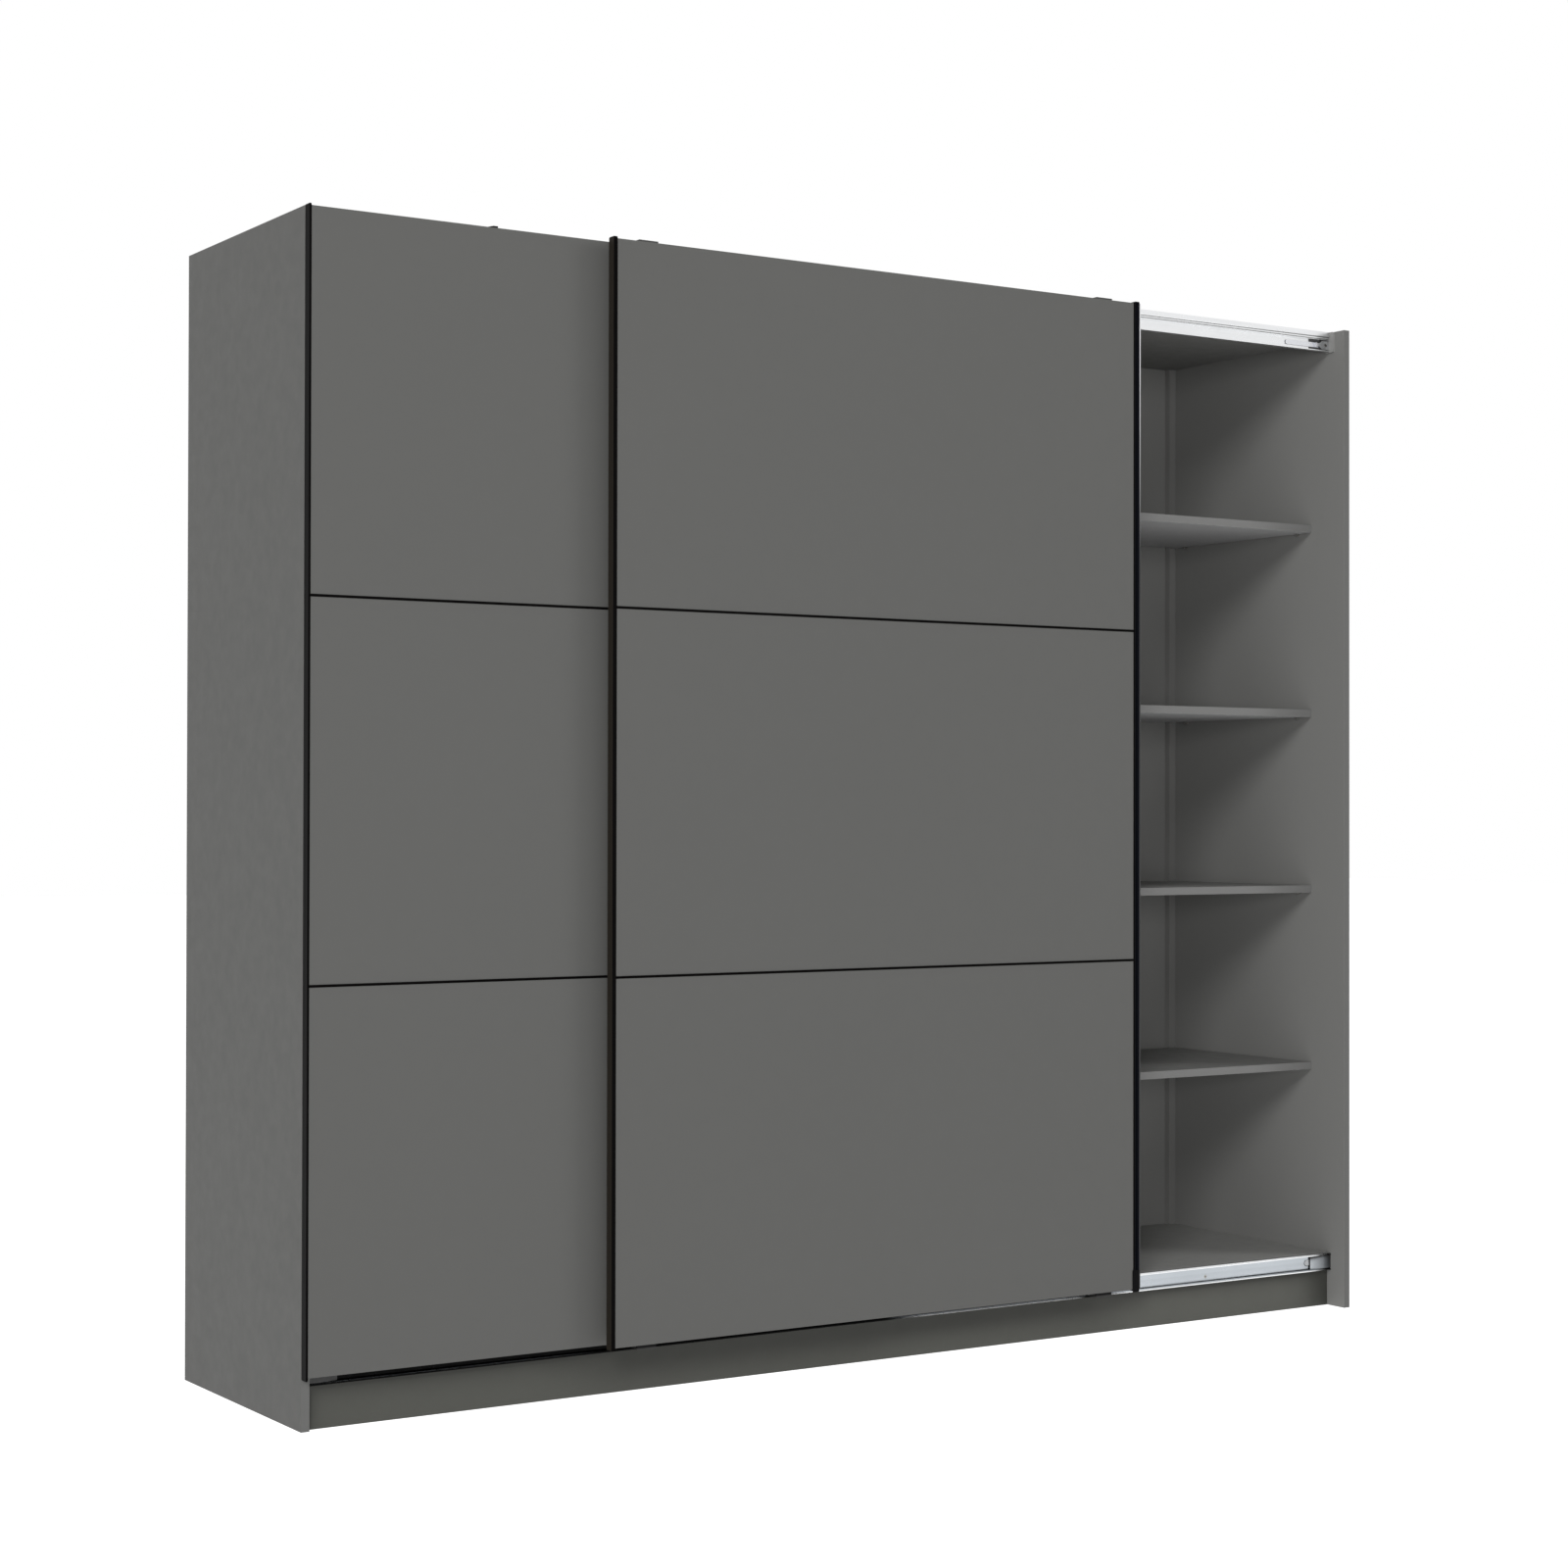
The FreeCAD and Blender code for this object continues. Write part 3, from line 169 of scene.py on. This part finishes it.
class Tree:
    """Adds nodes to a material and joins them.

    An input is a number, a colour or another node's output.
    """

    def __init__(self, material):
        self.material = material
        self.material.use_nodes = True
        self.nodes = self.material.node_tree.nodes
        self.links = self.material.node_tree.links
        self.shader = next(n for n in self.nodes if n.type == "BSDF_PRINCIPLED")

    def put(self, socket, value):
        if isinstance(value, bpy.types.NodeSocket):
            self.links.new(value, socket)
        elif isinstance(value, tuple) and len(value) == 3 and len(socket.default_value) == 4:
            socket.default_value = (*value, 1.0)
        else:
            socket.default_value = value

    def node(self, kind, inputs=None, **settings):
        made = self.nodes.new(kind)
        for key, value in settings.items():
            setattr(made, key, value)
        for key, value in (inputs or {}).items():
            self.put(made.inputs[key], value)
        return made

    def math(self, operation, first, second=0.0):
        return self.node("ShaderNodeMath", {0: first, 1: second}, operation=operation).outputs[0]

    def mix(self, amount, first, second):
        made = self.node("ShaderNodeMix", data_type="RGBA")
        for index, value in ((0, amount), (6, first), (7, second)):     # a colour mix's own sockets
            self.put(made.inputs[index], value)
        return made.outputs[2]

    def remap(self, value, low=0.0, high=1.0, from_low=NOISE_LOW, from_high=NOISE_HIGH):
        inputs = {"Value": value, "From Min": from_low, "From Max": from_high,
                  "To Min": low, "To Max": high}
        return self.node("ShaderNodeMapRange", inputs).outputs["Result"]

    def place(self, stretch=EVEN):
        """The point on the piece, with each axis stretched."""
        point = self.node("ShaderNodeTexCoord").outputs["Object"]
        return self.node("ShaderNodeMapping", {"Vector": point, "Scale": stretch}).outputs["Vector"]

    def noise(self, scale, detail=2.0, stretch=EVEN):
        inputs = {"Vector": self.place(stretch), "Scale": scale, "Detail": detail}
        return self.node("ShaderNodeTexNoise", inputs).outputs["Fac"]

    def bump(self, height, depth, strength, under=None):
        inputs = {"Height": height, "Distance": depth, "Strength": strength}
        if under is not None:
            inputs["Normal"] = under
        return self.node("ShaderNodeBump", inputs).outputs["Normal"]

    def part(self, kind, axis):
        """One axis of the point on the piece, "Object", or of its face's direction, "Normal"."""
        whole = self.node("ShaderNodeTexCoord").outputs[kind]
        return self.node("ShaderNodeSeparateXYZ", {0: whole}).outputs["XYZ".index(axis)]

    def facing(self, axis):
        """1 on faces that look along an axis of the piece, either way, and 0 elsewhere."""
        return self.math("GREATER_THAN", self.math("ABSOLUTE", self.part("Normal", axis)), FACING_LIMIT)

    def toward(self, axis, sign):
        """1 on faces that look to one side along an axis of the piece, and 0 elsewhere."""
        amount = self.math("MULTIPLY", self.part("Normal", axis), sign)
        return self.math("GREATER_THAN", amount, FACING_LIMIT)

    def along(self, axis, low, high):
        """0 to 1 along an axis of the piece, from low to high in metres."""
        return self.remap(self.part("Object", axis), from_low=low, from_high=high)

    def shaded(self, dark, open_colour, reach, low, high, direction=None):
        """Dark where other pieces stand close in front; direction replaces the face's own."""
        inputs = {"Distance": reach}
        if direction is not None:
            axes = dict(enumerate(direction))
            inputs["Normal"] = self.node("ShaderNodeCombineXYZ", axes).outputs[0]
        sky = self.node("ShaderNodeAmbientOcclusion", inputs, samples=SHADE_SAMPLES)
        openness = self.remap(sky.outputs["AO"], from_low=low, from_high=high)
        return self.mix(openness, dark, open_colour)

    def painted(self):
        """What the base colour is so far."""
        return self.shader.inputs["Base Color"].links[0].from_socket

    def finish(self, **values):
        for key, value in values.items():
            self.put(self.shader.inputs[key.replace("_", " ")], value)
        return self.material


def new_tree(name):
    return Tree(bpy.data.materials.new(name))


# ---------------------------------------------------------------- materials

def melamine(name, colour, band_axis=None, band=GRAPHITE_BAND, painted_light_side=None, under=None,
             door_shade=None):
    """Matt melamine: a fine pearl emboss and faint clouding.

    Faces along band_axis have the tone of the edge band. painted_light_side is the side along X painted
    in the lining's lighter tone as painted light, under the lighter tone painted on the underside as
    painted light from below, sheltered the factor of the painted shade close below a door.
    """
    tree = new_tree(name)
    clouds = tree.remap(tree.noise(scale=2.3, detail=3.0))
    specks = tree.remap(tree.noise(scale=1400.0, detail=1.0), high=0.2)
    face = tree.mix(clouds, shade(colour, 0.993), shade(colour, 1.007))
    face = tree.mix(specks, face, shade(colour, 1.12))
    # painted light: one side along X is painted in the lining's lighter tone
    if painted_light_side:
        face = tree.mix(tree.toward("X", painted_light_side), face, LINING_PAINTED_LIGHTER)
    # painted light: downward faces get a lighter tone, as light from below
    if under:
        face = tree.mix(tree.toward("Z", -1.0), face, under)
    if band_axis:
        face = tree.mix(tree.facing(band_axis), face, band)
    # painted shade: darker close below a door
    if door_shade:
        face = tree.shaded(shade(colour, door_shade), face, *PLINTH_SHADE, FORWARD_UP)
    pores = tree.bump(tree.noise(scale=260.0, detail=3.0), depth=0.04 * MM, strength=0.3)
    pearl = tree.bump(tree.noise(scale=900.0), depth=0.03 * MM, strength=0.5, under=pores)
    gloss = tree.remap(tree.noise(scale=38.0, detail=4.0), low=0.50, high=0.58)
    return tree.finish(Base_Color=face, Roughness=gloss, Normal=pearl, Specular_IOR_Level=0.22)


def hardboard(name, colour):
    """Printed hardboard: flatter and a little rougher than melamine, with faint pressed waves."""
    tree = new_tree(name)
    waves = tree.noise(scale=6.0, stretch=(1.0, 1.0, 0.35))
    face = tree.mix(tree.remap(waves), shade(colour, 0.95), shade(colour, 1.05))
    fibres = tree.bump(tree.noise(scale=700.0), depth=0.05 * MM, strength=0.5)
    relief = tree.bump(waves, depth=1.2 * MM, strength=0.25, under=fibres)
    return tree.finish(Base_Color=face, Roughness=0.62, Normal=relief, Specular_IOR_Level=0.3)


def satin_black(name, stretch, side=None, outer=None):
    """Black anodised aluminium with the fine lines of its extrusion.

    side is the colour painted on its left side face as a painted reflection, and outer that of the grip
    profile's outer wall.
    """
    tree = new_tree(name)
    lines = tree.noise(scale=600.0, stretch=stretch)
    wear = tree.remap(tree.noise(scale=9.0, detail=5.0))
    face = tree.mix(wear, PROFILE_BLACK, shade(PROFILE_BLACK, 1.5))
    # painted reflection on the left side face
    if side:
        face = tree.mix(tree.toward("X", -1.0), face, side)
    if outer:
        face = tree.mix(tree.along("X", *GRIP_OUTER), face, outer)
    relief = tree.bump(lines, depth=0.04 * MM, strength=0.6)
    gloss = tree.remap(lines, low=0.30, high=0.42)
    return tree.finish(Base_Color=face, Roughness=gloss, Normal=relief, Specular_IOR_Level=0.015)


def drawn_metal(name, colour, smoothest, roughest):
    """Bare metal with draw lines along X and slightly uneven shine."""
    tree = new_tree(name)
    lines = tree.noise(scale=500.0, detail=3.0, stretch=LENGTHWISE)
    smear = tree.noise(scale=14.0, detail=4.0)
    face = tree.mix(tree.remap(lines), shade(colour, 0.93), colour)
    face = tree.mix(tree.remap(smear, high=0.3), face, shade(colour, 0.88))
    relief = tree.bump(lines, depth=0.01 * MM, strength=0.6)
    gloss = tree.remap(smear, low=smoothest, high=roughest)
    return tree.finish(Base_Color=face, Metallic=1.0, Roughness=gloss, Normal=relief)


def rail_aluminium(name):
    return Tree(drawn_metal(name, ALUMINIUM, smoothest=0.24, roughest=0.36))


def channel_metal(name):
    """Drawn aluminium channel with painted shade: its recessed web painted a darker bluish grey, and
    dark painted shadow where doors stand close in front of it.
    """
    tree = rail_aluminium(name)
    front = tree.math("SUBTRACT", 1.0, tree.along("Y", *LIP_FRONT))
    lip = tree.math("MAXIMUM", front, tree.along("Z", *RIB_FOOT))
    # painted shade: the web gets the darker grey, the lips keep the bright metal
    metal = tree.mix(lip, CHANNEL_SHADE_GREY, tree.painted())
    foot = tree.shaded(RAIL_SHADE, metal, *WEB_FOOT_SHADE, FORWARD_UP)
    upper = tree.shaded(RAIL_SHADE, metal, *WEB_SHADE)
    web = tree.mix(tree.along("Z", *WEB_FOOT), foot, upper)
    lips = tree.shaded(RAIL_SHADE, metal, *LIP_SHADE, UPWARD)
    return tree.finish(Base_Color=tree.mix(lip, web, lips))


def grooved_metal(name):
    """Drawn aluminium with its narrow grooves in shadow."""
    tree = rail_aluminium(name)
    return tree.finish(Base_Color=tree.shaded(GROOVE_DARK, tree.painted(), *GROOVE_SHADE))


def leaf_metal(name):
    """The drawn steel of the spring leaves: duller on the bottom stops than on the top catches."""
    tree = Tree(drawn_metal(name, LEAF_BRIGHT, smoothest=0.18, roughest=0.28))
    return tree.finish(Base_Color=tree.mix(tree.along("Z", *LEAF_FADE), LEAF_DULL, tree.painted()))


def plated(name, colour, smoothest, roughest):
    """Zinc plating: a faint spangle and uneven shine."""
    tree = new_tree(name)
    spangle = tree.node("ShaderNodeTexVoronoi", {"Vector": tree.place(), "Scale": 420.0})
    spangle = spangle.outputs["Distance"]
    cloud = tree.noise(scale=60.0, detail=3.0)
    grains = tree.remap(spangle, from_low=0.0, from_high=0.8)
    face = tree.mix(grains, shade(colour, 0.85), shade(colour, 1.1))
    face = tree.mix(tree.remap(cloud, high=0.25), face, ZINC_YELLOWED)
    relief = tree.bump(spangle, depth=0.03 * MM, strength=0.4)
    gloss = tree.remap(cloud, low=smoothest, high=roughest)
    return tree.finish(Base_Color=face, Metallic=1.0, Roughness=gloss, Normal=relief)


def under_door(material):
    """The same material with painted shade: dark where a door stands close in front of it."""
    tree = Tree(material)
    face = tree.shaded(RAIL_SHADE, tree.painted(), *WEB_FOOT_SHADE, FORWARD_UP)
    return tree.finish(Base_Color=face)


def moulded(name, colour, smoothest, roughest, grain=500.0, depth=0.06 * MM, lift=1.25, sheen=0.5):
    """Moulded plastic or paint with a fine eroded grain; lift is its lightest tone."""
    tree = new_tree(name)
    erosion = tree.noise(scale=grain, detail=3.0)
    flow = tree.remap(tree.noise(scale=30.0, detail=3.0))
    face = tree.mix(flow, shade(colour, 0.92), shade(colour, lift))
    relief = tree.bump(erosion, depth=depth, strength=0.7)
    gloss = tree.remap(erosion, low=smoothest, high=roughest)
    return tree.finish(Base_Color=face, Roughness=gloss, Normal=relief, Specular_IOR_Level=sheen)


def bracket_paint(name, sheen):
    return moulded(name, shade(GRAPHITE, BRACKET_DARK), 0.45, 0.55, grain=220.0, depth=0.03 * MM,
                   lift=1.05, sheen=sheen)


def wheel_bracket_coat_and_shade(name):
    """Graphite paint on the wheel brackets, with painted shade: black above the lower edge of the
    doors.
    """
    tree = Tree(bracket_paint(name, sheen=0.1))
    face = tree.mix(tree.along("Z", *BRACKET_FADE), tree.painted(), BLACK_PLASTIC)
    return tree.finish(Base_Color=face)


def stop_moulding(name):
    """The grey plastic of the bottom stops, with painted shade: darker towards the side panels, in the
    corner.
    """
    tree = Tree(moulded(name, STOP_OUTER, 0.35, 0.50, grain=350.0, depth=0.1 * MM))
    left_fade = [-x for x in STOP_FADE]
    ends = tree.math("MAXIMUM", tree.along("X", *STOP_FADE), tree.along("X", *left_fade))
    return tree.finish(Base_Color=tree.mix(ends, STOP_INNER, tree.painted()))


def strip_plastic(name):
    """The soft closing strip of the front door, with a painted highlight: lighter towards its top."""
    tree = new_tree(name)
    erosion = tree.noise(scale=260.0, detail=3.0)
    face = tree.mix(tree.along("Z", *STRIP_FADE), STRIP_LOW, STRIP_TOP_HIGHLIGHT)
    relief = tree.bump(erosion, depth=0.04 * MM, strength=0.7)
    gloss = tree.remap(erosion, low=0.30, high=0.42)
    return tree.finish(Base_Color=face, Roughness=gloss, Normal=relief, Specular_IOR_Level=0.1)


def timber(name, colour):
    """Plain beech with short dark flecks along its length."""
    tree = new_tree(name)
    grain = tree.noise(scale=300.0, detail=4.0, stretch=(0.1, 1.0, 1.0))
    face = tree.mix(tree.remap(grain), shade(colour, 0.7), shade(colour, 1.15))
    relief = tree.bump(grain, depth=0.1 * MM, strength=0.6)
    return tree.finish(Base_Color=face, Roughness=0.6, Normal=relief)


def floor_paint(name):
    """A pale seamless floor with a hint of unevenness."""
    tree = new_tree(name)
    cloud = tree.remap(tree.noise(scale=0.6, detail=3.0))
    face = tree.mix(cloud, shade(FLOOR_WHITE, 0.99), FLOOR_WHITE)
    relief = tree.bump(tree.noise(scale=120.0), depth=0.3 * MM, strength=0.2)
    return tree.finish(Base_Color=face, Roughness=0.7, Normal=relief,
                       Emission_Color=(1.0, 1.0, 1.0), Emission_Strength=FLOOR_GLOW)


board_lining = melamine("graphite_lining", LINING_PAINTED_LIGHTER, "Y", LINING_BAND)
board_shelf = melamine("graphite_shelf", LINING_PAINTED_LIGHTER, "Y", LINING_BAND, under=SHELF_UNDER_PAINTED_LIGHT)
board_floor = melamine("graphite_floor", shade(LINING_PAINTED_LIGHTER, FLOOR_BOARD_PAINTED_LIGHT), "Y", LINING_BAND)
board_left_side = melamine("graphite_left_side", GRAPHITE, "Y", painted_light_side=1.0)
board_right_side = melamine("graphite_right_side", GRAPHITE, "Y", painted_light_side=-1.0)
board_plinth = melamine("graphite_plinth", PLINTH_GREY, door_shade=PLINTH_PAINTED_SHADE)
board_door = melamine("graphite_door", GRAPHITE, "Z")
board_batten = melamine("graphite_batten", shade(BACK_GREY, BATTEN_DARK), painted_light_side=-1.0)
back_sheet = hardboard("graphite_back_sheet", BACK_GREY)
profile_upright = satin_black("black_profile_upright", UPRIGHT)
profile_level = satin_black("black_profile_level", LENGTHWISE)
profile_painted_side = satin_black("black_profile_painted_side", UPRIGHT, side=PROFILE_SIDE_REFLECTION)
profile_grip = satin_black("black_profile_grip", UPRIGHT, outer=GRIP_NAVY)
top_rail_metal = grooved_metal("rail_aluminium")
bottom_rail_metal = channel_metal("channel_aluminium")
catch_metal = leaf_metal("catch_metal")
chrome_tube = drawn_metal("rail_chrome", CHROME, smoothest=0.08, roughest=0.14)
socket_metal = plated("socket_nickel", CHROME, smoothest=0.22, roughest=0.34)
zinc = plated("zinc_plating", ZINC, smoothest=0.30, roughest=0.45)
# painted shade: the carcass screws turn dark where a door stands close in front
screw_zinc = under_door(plated("screw_zinc", shade(ZINC, SCREW_DARK), smoothest=0.30, roughest=0.45))
nylon = moulded("nylon", NYLON, 0.35, 0.50, grain=300.0, depth=0.04 * MM, lift=1.08)
black_plastic = moulded("black_plastic", BLACK_PLASTIC, 0.38, 0.55, sheen=0.03)
catch_plastic = moulded("catch_plastic", CATCH_GREY, 0.38, 0.55, sheen=0.2)
grey_plastic = moulded("grey_plastic", GREY_PLASTIC, 0.40, 0.55, lift=1.1)
# painted shade: the bottom stops turn dark where a door stands close in front
stop_plastic = under_door(stop_moulding("stop_plastic"))
wheel_bracket_paint_and_shade = wheel_bracket_coat_and_shade("bracket_paint")
graphite_paint = bracket_paint("graphite_paint", sheen=0.2)
closing_strip = strip_plastic("closing_strip")
beech = timber("beech", BEECH)

MATERIAL_OF = {
    "side_panel_left": board_left_side, "side_panel_right": board_right_side,
    "top_panel": board_lining, "bottom_panel": board_floor, "partition": board_lining,
    "shelf": board_shelf, "shelf_pins": zinc, "plinth": board_plinth,
    "back_panel": back_sheet, "back_panel_nails": zinc, "back_battens": board_batten,
    "rear_door_panel": board_door, "front_door_panel": board_door,
    "rear_door_profile": profile_upright, "front_door_profile": profile_painted_side,
    "front_door_grip_profile": profile_grip, "front_door_seal": closing_strip,
    "rear_door_divider": profile_level, "front_door_divider": profile_level,
    "top_rail": top_rail_metal, "bottom_rail": bottom_rail_metal, "rail_end_caps": grey_plastic,
    "top_catch_plates": catch_plastic, "catch_springs": catch_metal, "bottom_stops": stop_plastic,
    "carcass_screws": screw_zinc, "rear_door_screws": zinc, "front_door_screws": zinc,
    "panel_connectors": zinc, "dowels": beech, "wall_brackets": zinc,
    "clothes_rail": chrome_tube, "clothes_rail_sockets": socket_metal,
    "rear_door_wheel": nylon, "front_door_wheel": nylon,
    "rear_door_wheel_brackets": wheel_bracket_paint_and_shade,
    "front_door_wheel_brackets": wheel_bracket_paint_and_shade,
    "rear_door_top_guides": black_plastic, "rear_door_top_clip": black_plastic,
    "front_door_top_guides": graphite_paint,
}


def dress_frame():
    """Each CAD node gets the material whose key is the longest beginning of its name."""
    for name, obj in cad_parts.items():
        keys = [key for key in MATERIAL_OF if name.startswith(key)]
        obj.data.materials.clear()
        obj.data.materials.append(MATERIAL_OF[max(keys, key=len)])


def soften(name, width):
    """Fine rounding of a CAD node's sharp edges, so that they catch the light."""
    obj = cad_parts[name]
    weld = obj.modifiers.new("weld", "WELD")
    weld.merge_threshold = WELD_REACH
    bevel = obj.modifiers.new("bevel", "BEVEL")
    bevel.width = width
    bevel.segments = 2
    bevel.limit_method = "ANGLE"
    bevel.angle_limit = SHARP_ANGLE
    bevel.use_clamp_overlap = True


# ---------------------------------------------------------------- pieces

def new_piece(name, mesh_data, material, body):
    mesh = bpy.data.meshes.new(name)
    mesh_data.to_mesh(mesh)
    mesh_data.free()
    mesh.materials.append(material)
    obj = bpy.data.objects.new(name, mesh)
    bpy.context.scene.collection.objects.link(obj)
    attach(obj, body)


def rounded_block(low, high, rounding):
    """A block between two corners with rounded edges, as a bmesh."""
    mesh = bmesh.new()
    middle, size = (low + high) / 2, high - low
    for vertex in bmesh.ops.create_cube(mesh, size=1.0)["verts"]:
        vertex.co = middle + Vector(a * b for a, b in zip(vertex.co, size))
    bmesh.ops.bevel(mesh, geom=mesh.edges[:], offset=rounding, segments=3, affect="EDGES")
    return mesh


def profile_cap(node, body, upper, hidden=0.0):
    """The plastic plug on one end of an upright profile; hidden is its flange over the board."""
    low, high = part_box(node)
    edge = high.z if upper else low.z
    bottom, top = (edge, edge + CAP_RISE) if upper else (edge - CAP_RISE, edge)
    mesh = rounded_block(Vector((low.x + hidden + CAP_INSET, low.y + CAP_INSET, bottom)),
                         Vector((high.x - CAP_INSET, high.y - CAP_INSET, top)), CAP_ROUND)
    name = node + ("_cap_top" if upper else "_cap_foot")
    new_piece(name, mesh, black_plastic, body)


def grip_foot():
    """The plastic end piece that closes the finger groove at the foot of the grip profile."""
    low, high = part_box("front_door_grip_profile")
    mesh = rounded_block(Vector((low.x - FOOT_PAST, low.y - FOOT_PROUD, low.z - CAP_RISE)),
                         Vector((high.x, low.y + FOOT_PROUD, low.z + FOOT_HEIGHT)), CAP_ROUND)
    new_piece("front_door_grip_foot", mesh, black_plastic, "front_door")


# ---------------------------------------------------------------- studio

def studio():
    """A white room: a bright floor, an even sky, and large soft lights far in front."""
    floor_place = (0, 0, cad_box[0][2] - FLOOR_GAP)
    bpy.ops.mesh.primitive_plane_add(size=FLOOR_SIZE, location=floor_place)
    floor = bpy.context.object
    floor.name = "floor"
    floor.data.materials.append(floor_paint("floor_paint"))
    bpy.context.scene.world = white_room()
    bpy.context.scene.view_settings.view_transform = "Standard"
    for name, (azimuth, elevation, size, power) in STUDIO_LIGHTS.items():
        left, up = math.radians(azimuth), math.radians(elevation)
        direction = Vector((-math.sin(left) * math.cos(up), -math.cos(left) * math.cos(up),
                            math.sin(up)))
        area_light(name, LIGHT_AIM + direction * LIGHT_DISTANCE, size, power)


def white_room():
    """Bright to the eye and in reflections, gentler as light."""
    world = bpy.data.worlds.new("white_room")
    world.use_nodes = True
    nodes, links = world.node_tree.nodes, world.node_tree.links
    light, seen = nodes["Background"], nodes.new("ShaderNodeBackground")
    for background, strength in ((light, SKY_LIGHT), (seen, SKY_SEEN)):
        background.inputs["Color"].default_value = (1.0, 1.0, 1.0, 1.0)
        background.inputs["Strength"].default_value = strength
    path = nodes.new("ShaderNodeLightPath")
    either = nodes.new("ShaderNodeMath")
    either.operation = "MAXIMUM"
    links.new(path.outputs["Is Camera Ray"], either.inputs[0])
    links.new(path.outputs["Is Glossy Ray"], either.inputs[1])
    mix = nodes.new("ShaderNodeMixShader")
    for index, source in enumerate((either, light, seen)):
        links.new(source.outputs[0], mix.inputs[index])
    links.new(mix.outputs[0], nodes["World Output"].inputs["Surface"])
    return world


def area_light(name, place, size, power):
    light = bpy.data.lights.new(name, "AREA")
    light.shape = "SQUARE"
    light.size = size
    light.energy = power
    obj = bpy.data.objects.new(name, light)
    bpy.context.scene.collection.objects.link(obj)
    obj.location = place
    obj.rotation_euler = (LIGHT_AIM - place).to_track_quat("-Z", "Y").to_euler()
    obj.visible_glossy = False


def photo_camera():
    camera = bpy.data.cameras.new("camera")
    camera.sensor_width = SENSOR
    camera.lens = CAMERA_LENS
    camera.clip_end = CAMERA_REACH
    obj = bpy.data.objects.new("camera", camera)
    bpy.context.scene.collection.objects.link(obj)
    turn = Matrix.Rotation(-CAMERA_TURN, 4, "Z")
    tilt = Matrix.Rotation(math.pi / 2 + CAMERA_TILT, 4, "X")
    roll = Matrix.Rotation(CAMERA_ROLL, 4, "Z")
    obj.matrix_world = Matrix.Translation(CAMERA_PLACE) @ turn @ tilt @ roll
    bpy.context.scene.camera = obj


photo_camera()
studio()
dress_frame()
for rail in ("top_rail", "bottom_rail"):
    soften(rail, RAIL_ROUND)
for profile, door in (("rear_door_profile_left", "rear_door"),
                      ("rear_door_profile_right", "rear_door"),
                      ("front_door_profile_left", "front_door")):
    profile_cap(profile, door, upper=True)
    profile_cap(profile, door, upper=False)
profile_cap("front_door_grip_profile", "front_door", upper=True, hidden=GRIP_FLANGE)
grip_foot()
